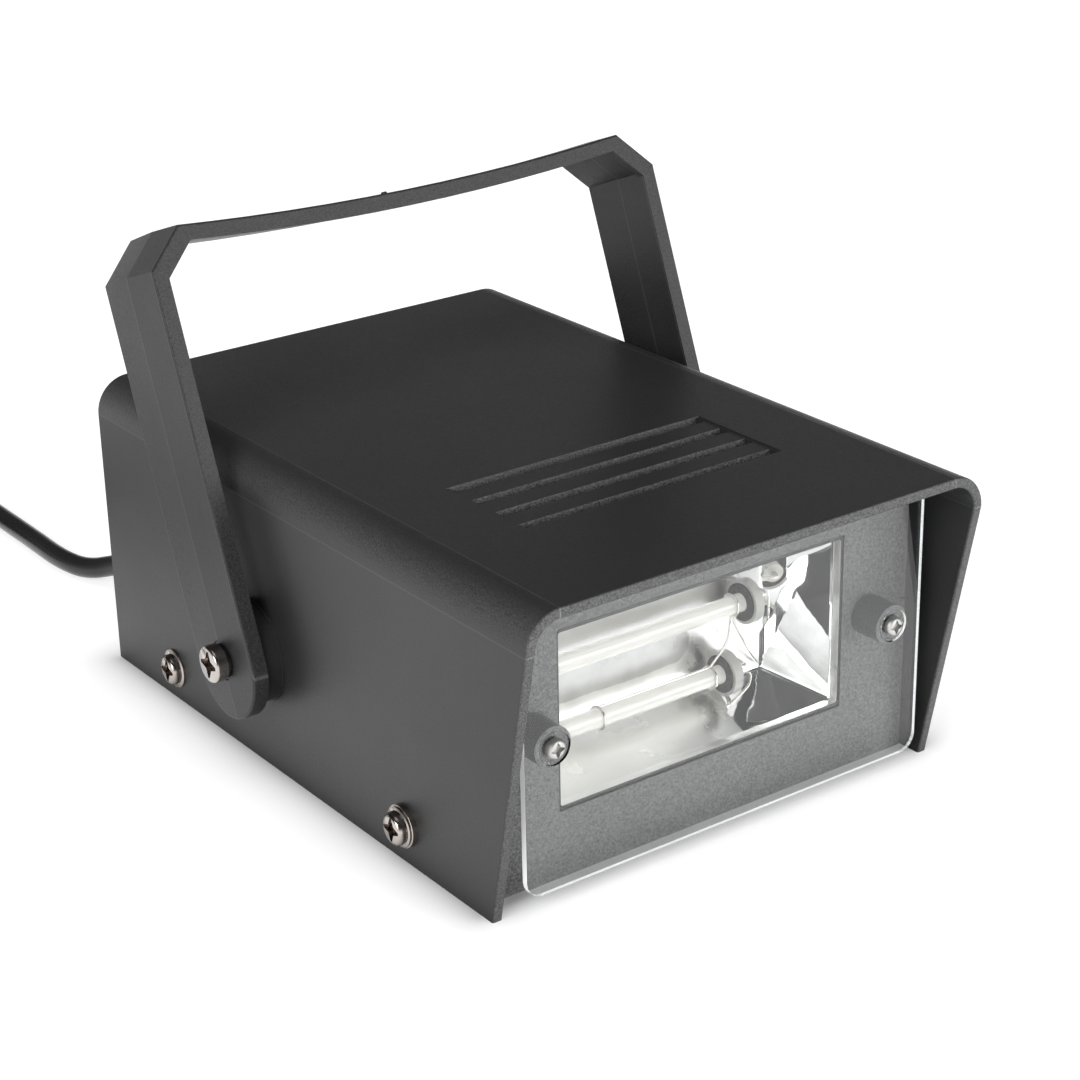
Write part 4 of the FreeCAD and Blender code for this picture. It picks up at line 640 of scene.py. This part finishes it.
band_far = film("MULTIPLY_ADD", band_out, band_out, film("MULTIPLY", band_up, band_up))
band_far = film("SQRT", band_far)
band_far = film("MULTIPLY_ADD", film_clouds, BAND_RAGGED, band_far)
on_band = without(film_step(band_far, BAND_HALF - BAND_BLUR, BAND_HALF + BAND_BLUR))
on_flat = film_step(film_y, BACK_Y - 0.0006, BACK_Y - 0.0003)
film_tone = film("MULTIPLY_ADD", film_clouds, FILM_CLOUDY, FILM_LEVEL)
# Painted reflection: a darker band on the flat back between the legs.
film_tone = film("MULTIPLY_ADD", film("MULTIPLY", on_band, on_flat), -PAINTED_BAND_REFLECTION, film_tone)
# Painted reflection: the hazy part above the legs is darker.
upper = film("MULTIPLY", haze, film_step(film_z, *UPPER_START))
film_tone = film("MULTIPLY_ADD", upper, -PAINTED_UPPER_REFLECTION, film_tone)
film_tone = film("MULTIPLY_ADD", in_floor, FLOOR_LIGHTER, film_tone)
film_tone = film("MINIMUM", film_tone, FILM_MOST)
bare = film_step(film_ahead, *BARE_START)
mirror_tree.links.new(paint_over(mirror_tree, bare, scaled(mirror_tree, FILM_COLOUR, film_tone),
                                 BARE_COLOUR), mirror_shader.inputs["Base Color"])
mirror_tree.links.new(without(bare), mirror_shader.inputs["Metallic"])

# Height: slow waves, a fine peel where it is hazy, and dents in the sharp wing. Above a slanting
# crease, and in a band along its rear edge, the wing leans back and turns a little to the front.
# Both edges are ragged. The crease and the band are lines through (ahead, z).
WAVE_SIZE, WAVE_HEIGHT = 0.015, 0.0005
PEEL_SIZE, PEEL = 0.0006, 0.02     # the peel's height as a share of the waves'
LEAN, TURN = 0.44, 0.16
RAGGED_SIZE, RAGGED = 0.003, 0.0016
CREASE, CREASE_SLOPE = (0.0566, 0.0418), 1.63
CREASE_REAR = (0.0550, 0.0552)
DENT_BAND, DENT_BAND_NORMAL = (0.0560, 0.0425), (0.945, -0.329)
DENT_BAND_HALF = (0.0011, 0.0013)
DENT_MIDDLE = (0.056, 0.042)
WING_START = (BACK[0], BACK[0] + 0.0006)
WING_END = (0.0630, 0.0634)


def line_off(point, normal):
    """The distance ahead and up of a point (ahead, z), weighed by that normal."""
    return film("MULTIPLY_ADD", film("SUBTRACT", film_z, point[1]), normal[1],
                film("MULTIPLY", film("SUBTRACT", film_ahead, point[0]), normal[0]))


ragged = film("MULTIPLY", film_noise(RAGGED_SIZE, 3.0, 0.6), RAGGED)
crease = line_off(CREASE, (CREASE_SLOPE, 1.0))
above = film("MULTIPLY", film_step(film("ADD", crease, ragged), -0.0001, 0.0001),
             film_step(film("ADD", film_ahead, ragged), *CREASE_REAR))
band_off = film("ABSOLUTE", film("ADD", line_off(DENT_BAND, DENT_BAND_NORMAL), ragged))
in_band = film("MULTIPLY", without(film_step(band_off, *DENT_BAND_HALF)),
               without(film_step(crease, 0.0, 0.002)))
on_wing = film("MULTIPLY", film_step(film_x, *WING_START),
               without(film_step(film_ahead, *WING_END)))
dented = film("MULTIPLY", film("MAXIMUM", above, in_band), on_wing)
dent = line_off(DENT_MIDDLE, (TURN, LEAN))
film_waves = noise_node(mirror_tree, mirror_place, 1 / WAVE_SIZE, 1.0, 0.4)
film_peel = noise_node(mirror_tree, mirror_place, 1 / PEEL_SIZE, 2.0, 0.6)
film_height = film("MULTIPLY_ADD", film("MULTIPLY", film_peel, haze), PEEL, film_waves)
film_height = film("MULTIPLY_ADD", film("MULTIPLY", dent, dented), -1 / WAVE_HEIGHT, film_height)
add_bump(mirror_tree, film_height, WAVE_HEIGHT)
mirror_bowl.data.materials.append(mirror_film)
dress("reflector_screws", metal("zinc_screw", (0.6, 0.6, 0.6), 0.3))

# ---- Flash tube ----
# A U of clear quartz glass filled with xenon, its ends in dark rubber grommets that sit in white
# holders, with a fine trigger wire round and along it.
tube_glass, tube_shader = plain_material("tube_glass", (0.97, 0.965, 0.94), 0.06)
tube_shader.inputs["Transmission Weight"].default_value = 0.5
tube_shader.inputs["IOR"].default_value = 1.46
# The glass glows faintly though the tube is not firing: a painted glow.
tube_shader.inputs["Emission Color"].default_value = (1.0, 0.98, 0.93, 1)
tube_shader.inputs["Emission Strength"].default_value = 0.11
STREAK_SIZE, STREAK_GLOSS, TUBE_GLOSS = 0.004, 0.12, 0.02
tube_tree = tube_glass.node_tree
tube_streaks = noise_node(tube_tree, object_place(tube_tree), 1 / STREAK_SIZE, 3.0, 0.6)
tube_tree.links.new(math_node(tube_tree, "MULTIPLY_ADD", tube_streaks, STREAK_GLOSS, TUBE_GLOSS),
                    tube_shader.inputs["Roughness"])
dress("flash_tube", tube_glass)
dress("tube_electrodes", metal("electrode_metal", (0.4, 0.38, 0.36), 0.35))
dress("tube_grommets", moulded("grommet_rubber", (0.045, 0.045, 0.044), 0.6, 0.0005, 0.0001,
                               0.0009, 1.4))
holder_cream = moulded("holder_cream", (0.93, 0.92, 0.87), 0.35, 0.0008, 0.00002, 0.004, 0.05)
holder_cream.node_tree.nodes["Principled BSDF"].inputs["Transmission Weight"].default_value = 0.35
dress("tube_holders", holder_cream)
dress("tube_leads", metal("lead_wire", (0.7, 0.68, 0.64), 0.3))
dress("trigger_wire", metal("trigger_wire_metal", (0.75, 0.73, 0.7), 0.25))

# ---- Clear plate ----
# A sheet of clear acrylic with rounded corners stands in front of the window on two bosses, each
# with a nickel-plated screw in a shallow seat. Its back stays just clear of the bosses, so that
# no two faces fall together. Its sawn edges are whitish.
plate_clear, plate_shader = plain_material("plate_clear", (0.97, 0.98, 0.98), 0.012)
plate_shader.inputs["Transmission Weight"].default_value = 1.0
plate_shader.inputs["IOR"].default_value = 1.4
STAND_OFF = 0.00004                # how far its back stays clear of the bosses' faces
BOSS_FACE_Y = -0.07375
TOLERANCE = 0.00001
clear_cut = bmesh.new()
clear_cut.from_mesh(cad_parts["clear_window"].data)
bmesh.ops.remove_doubles(clear_cut, verts=clear_cut.verts, dist=0.000001)
for corner in clear_cut.verts:
    if corner.co.y > BOSS_FACE_Y - TOLERANCE:
        corner.co.y = BOSS_FACE_Y - STAND_OFF
bmesh.ops.recalc_face_normals(clear_cut, faces=clear_cut.faces)
clear_mesh = bpy.data.meshes.new("clear_plate")
clear_cut.to_mesh(clear_mesh)
clear_cut.free()
clear_plate = bpy.data.objects.new("clear_plate", clear_mesh)
bpy.context.scene.collection.objects.link(clear_plate)
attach(clear_plate, "housing")
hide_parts("clear_window")
clear_mesh.materials.append(plate_clear)
dress("window_screws", metal("screw_nickel", (0.5, 0.495, 0.48), 0.5))
PLATE_HALF = 0.0533
PLATE_LOW, PLATE_HIGH = 0.0040, 0.0686
PLATE_FACE, PLATE_BACK = -0.0752, -0.0738
PLATE_CORNER = 0.0040
EDGE_SKIN = 0.00004
plate_half_height = (PLATE_HIGH - PLATE_LOW) / 2
plate_outline = rounded_ring(PLATE_HALF, plate_half_height, PLATE_CORNER)
grown_outline = rounded_ring(PLATE_HALF + EDGE_SKIN, plate_half_height + EDGE_SKIN,
                             PLATE_CORNER + EDGE_SKIN)
edge_rows = []
for outline, y in ((plate_outline, PLATE_FACE), (grown_outline, PLATE_FACE),
                   (grown_outline, PLATE_BACK), (plate_outline, PLATE_BACK)):
    edge_rows.append(np.column_stack([outline[:, 0], np.full(len(outline), y),
                                      outline[:, 1] + (PLATE_HIGH + PLATE_LOW) / 2]))
edge_count = len(plate_outline)
edge_quads = np.array(grid_faces(5, edge_count, wrap=True)) % (4 * edge_count)
plate_edge = add_mesh("clear_window_edge", np.concatenate(edge_rows), edge_quads.tolist(),
                      smooth=False)
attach(plate_edge, "housing")
sawn_edge = moulded("sawn_edge", (0.90, 0.91, 0.91), 0.4, 0.0005, 0.00001, 0.01, 0.06)
sawn_shader = sawn_edge.node_tree.nodes["Principled BSDF"]
# The sawn edges glow faintly, a painted glow that keeps them bright in shade.
sawn_shader.inputs["Emission Color"].default_value = (1, 1, 1, 1)
sawn_shader.inputs["Emission Strength"].default_value = 0.3
plate_edge.data.materials.append(sawn_edge)

# ---- Board and its components ----
# A brown paper-laminate board on four standoffs carries a simple voltage doubler, the trigger
# circuit, a fuse and the terminals.
BOARD_PLASTICS = (
    ("circuit_board", "board_laminate", (0.28, 0.19, 0.09), 0.55, 0.0012, 0.00002, 0.01, 0.15),
    ("capacitors", "capacitor_sleeve", (0.02, 0.035, 0.11), 0.3, 0.002, 0.00002, 0.01, 0.1),
    ("trigger_transformer", "winding_tape", (0.6, 0.45, 0.06), 0.4, 0.0015, 0.00003, 0.006, 0.1),
    ("power_resistor", "resistor_cement", (0.68, 0.66, 0.6), 0.8, 0.0005, 0.00006, 0.005, 0.15),
    ("diodes", "diode_epoxy", (0.03, 0.03, 0.03), 0.35, 0.0008, 0.00002, 0.004, 0.1),
    ("thyristor", "thyristor_epoxy", (0.03, 0.03, 0.03), 0.4, 0.0006, 0.00002, 0.004, 0.1),
    ("terminal_block", "terminal_plastic", (0.03, 0.22, 0.08), 0.4, 0.0006, 0.00002, 0.004, 0.1),
    ("hookup_wires", "wire_insulation", (0.35, 0.03, 0.025), 0.35, 0.0008, 0.00001, 0.004, 0.1))
for node, *finish in BOARD_PLASTICS:
    dress(node, moulded(*finish))
dress("board_screws", metal("board_screw_zinc", (0.62, 0.62, 0.6), 0.3))
dress("fuse", metal("fuse_cap", (0.7, 0.69, 0.66), 0.25))
dress("fuse_clips", metal("clip_spring_metal", (0.68, 0.66, 0.6), 0.28))

# ---- Speed control ----
# A potentiometer behind the rear wall turns with a fluted black knob that has a white pointer. A
# printed ring of ticks and numbers stands round it.
dress("potentiometer", metal("control_can", (0.6, 0.6, 0.6), 0.35))
dress("pot_nut", metal("nut_nickel", (0.66, 0.64, 0.6), 0.28))
dress("pot_shaft", metal("shaft_aluminium", (0.72, 0.72, 0.73), 0.32))
knob_plastic = moulded("knob_plastic", (0.022, 0.022, 0.023), 0.42, 0.0006, 0.00002, 0.01, 0.08)
KNOB_CENTRE = (0.028, 0.036)
POINTER_HALF, POINTER_START = 0.00045, 0.0015
KNOB_FACE_Y = 0.09925              # the painted face lies behind this
POINTER_COLOUR = (0.82, 0.82, 0.80)
knob_tree = knob_plastic.node_tree
knob_math = partial(math_node, knob_tree)
knob_axes = split(knob_tree, object_place(knob_tree))
on_rib = knob_math("COMPARE", knob_axes["X"], KNOB_CENTRE[0], POINTER_HALF)
on_face = knob_math("GREATER_THAN", knob_axes["Y"], KNOB_FACE_Y)
outward = knob_math("GREATER_THAN", knob_axes["Z"], KNOB_CENTRE[1] + POINTER_START)
painted = knob_math("MULTIPLY", knob_math("MULTIPLY", on_rib, on_face), outward)
knob_colour = paint_over(knob_tree, painted, knob_tree.nodes["grain"].outputs["Colour"],
                         POINTER_COLOUR)
knob_tree.links.new(knob_colour, knob_tree.nodes["Principled BSDF"].inputs["Base Color"])
dress("speed_knob", knob_plastic)

DIAL_WALL_Y = 0.08395
DIAL_INK = 0.00003                 # thickness of the print
DIAL_STEPS = 11
DIAL_SWEEP = math.radians(280)
TICK_RADII = (0.0103, 0.0122)
TICK_HALF_WIDTH = 0.00017
NUMBER_RADIUS = 0.0147
NUMBER_SIZE = 0.0030
print_points, print_faces = [], []


def add_print(points, faces):
    """Puts flat print on the rear wall: x runs to the left as seen from behind, z up."""
    start = sum(len(block) for block in print_points)
    points = np.asarray(points)
    print_points.append(np.column_stack([KNOB_CENTRE[0] - points[:, 0], DIAL_WALL_Y + points[:, 2],
                                         KNOB_CENTRE[1] + points[:, 1]]))
    print_faces.extend([[start + corner for corner in face] for face in faces])


box_faces = [(0, 2, 3, 1), (4, 5, 7, 6), (0, 1, 5, 4), (2, 6, 7, 3), (0, 4, 6, 2), (1, 3, 7, 5)]
for step in range(DIAL_STEPS):
    angle = DIAL_SWEEP * (step / (DIAL_STEPS - 1) - 0.5)
    out = np.array([math.sin(angle), math.cos(angle)])
    side = np.array([out[1], -out[0]])
    corners = [(*(out * radius + side * s), z) for z in (0, DIAL_INK)
               for s in (-TICK_HALF_WIDTH, TICK_HALF_WIDTH) for radius in TICK_RADII]
    add_print(corners, box_faces)
    number_curve = bpy.data.curves.new("number", "FONT")
    number_curve.body = str(step)
    number_curve.size = NUMBER_SIZE
    number_curve.align_x = "CENTER"
    number_curve.align_y = "CENTER"
    number_curve.extrude = DIAL_INK / 2
    number = bpy.data.objects.new("number", number_curve)
    bpy.context.scene.collection.objects.link(number)
    bpy.context.view_layer.update()
    shown = number.evaluated_get(bpy.context.evaluated_depsgraph_get())
    number_mesh = bpy.data.meshes.new_from_object(shown)
    flat = np.array([vertex.co for vertex in number_mesh.vertices])
    flat[:, :2] += out * NUMBER_RADIUS
    flat[:, 2] += DIAL_INK / 2
    add_print(flat, [list(polygon.vertices) for polygon in number_mesh.polygons])
    bpy.data.objects.remove(number)
dial_print = add_mesh("dial_print", np.concatenate(print_points), print_faces, smooth=False)
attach(dial_print, "housing")
dial_print.data.materials.append(moulded("dial_ink", (0.78, 0.78, 0.76), 0.5, 0.0004, 0.000005,
                                         0.004, 0.1))

# ---- Yoke and its pivots ----
# A U bracket moulded in the same black plastic, ridged along its outer face. It turns between
# plastic discs and split washers on two nickel-plated machine screws, each with a nut inside.
# Fine painted highlights run along the ridge and beside the front edge, and its faces to the
# front and rounded edges are painted paler, as painted light.
yoke_plastic = moulded("yoke_plastic", (0.018, 0.018, 0.0185), 0.44, 0.00038, 0.00005, 0.03, 0.10,
                       specular=0.27, sparkle=0.3, edge_grain_and_painted_sheen=0.4, painted_front_light=1.6)
YOKE_LEAN = math.radians(21)
YOKE_ACROSS = (0, math.cos(YOKE_LEAN), -math.sin(YOKE_LEAN))
YOKE_RIDGE_AT = 0.0056             # where the ridge lies in that direction
YOKE_FRONT_AT = YOKE_RIDGE_AT - 0.01195
# Painted highlights: thin lighter lines along the ridge and beside the front edge.
YOKE_PAINTED_HIGHLIGHT = 2.2
add_lines(yoke_plastic, [line_mask(yoke_plastic.node_tree, YOKE_ACROSS, offset, width)
                         for offset, width in ((YOKE_RIDGE_AT, 0.00022), (YOKE_FRONT_AT, 0.0002))],
          YOKE_PAINTED_HIGHLIGHT)
dress("yoke", yoke_plastic)
dress("friction_discs", moulded("disc_plastic", (0.028, 0.028, 0.029), 0.42, 0.0005, 0.00003))
PIVOT_AXIS = (0.0166, 0.0276)
dress("pivot_screws", metal("pivot_nickel", (0.42, 0.385, 0.36), 0.22, axes=(PIVOT_AXIS,),
                            swell=55))
dress("pivot_spring_washers", metal("washer_black", (0.09, 0.085, 0.08), 0.4))
dress("pivot_nuts", metal("nut_zinc", (0.62, 0.62, 0.6), 0.3))

# ---- Cover screws ----
# One nickel-plated cross-slot screw low on each side at the rear, and one with a flat washer at
# the front, go through the cover into the tray's side bosses.
REAR_AXIS, FRONT_AXIS = (0.0566, 0.0079), (-0.0414, 0.0089)
cover_nickel = metal("cover_screw_nickel", (0.40, 0.36, 0.335), 0.22,
                     axes=(REAR_AXIS, FRONT_AXIS), swell=75)
for node in ("rear_cover_screws", "front_cover_screws", "front_screw_washers"):
    dress(node, cover_nickel)

bpy.context.scene.view_settings.view_transform = "Standard"
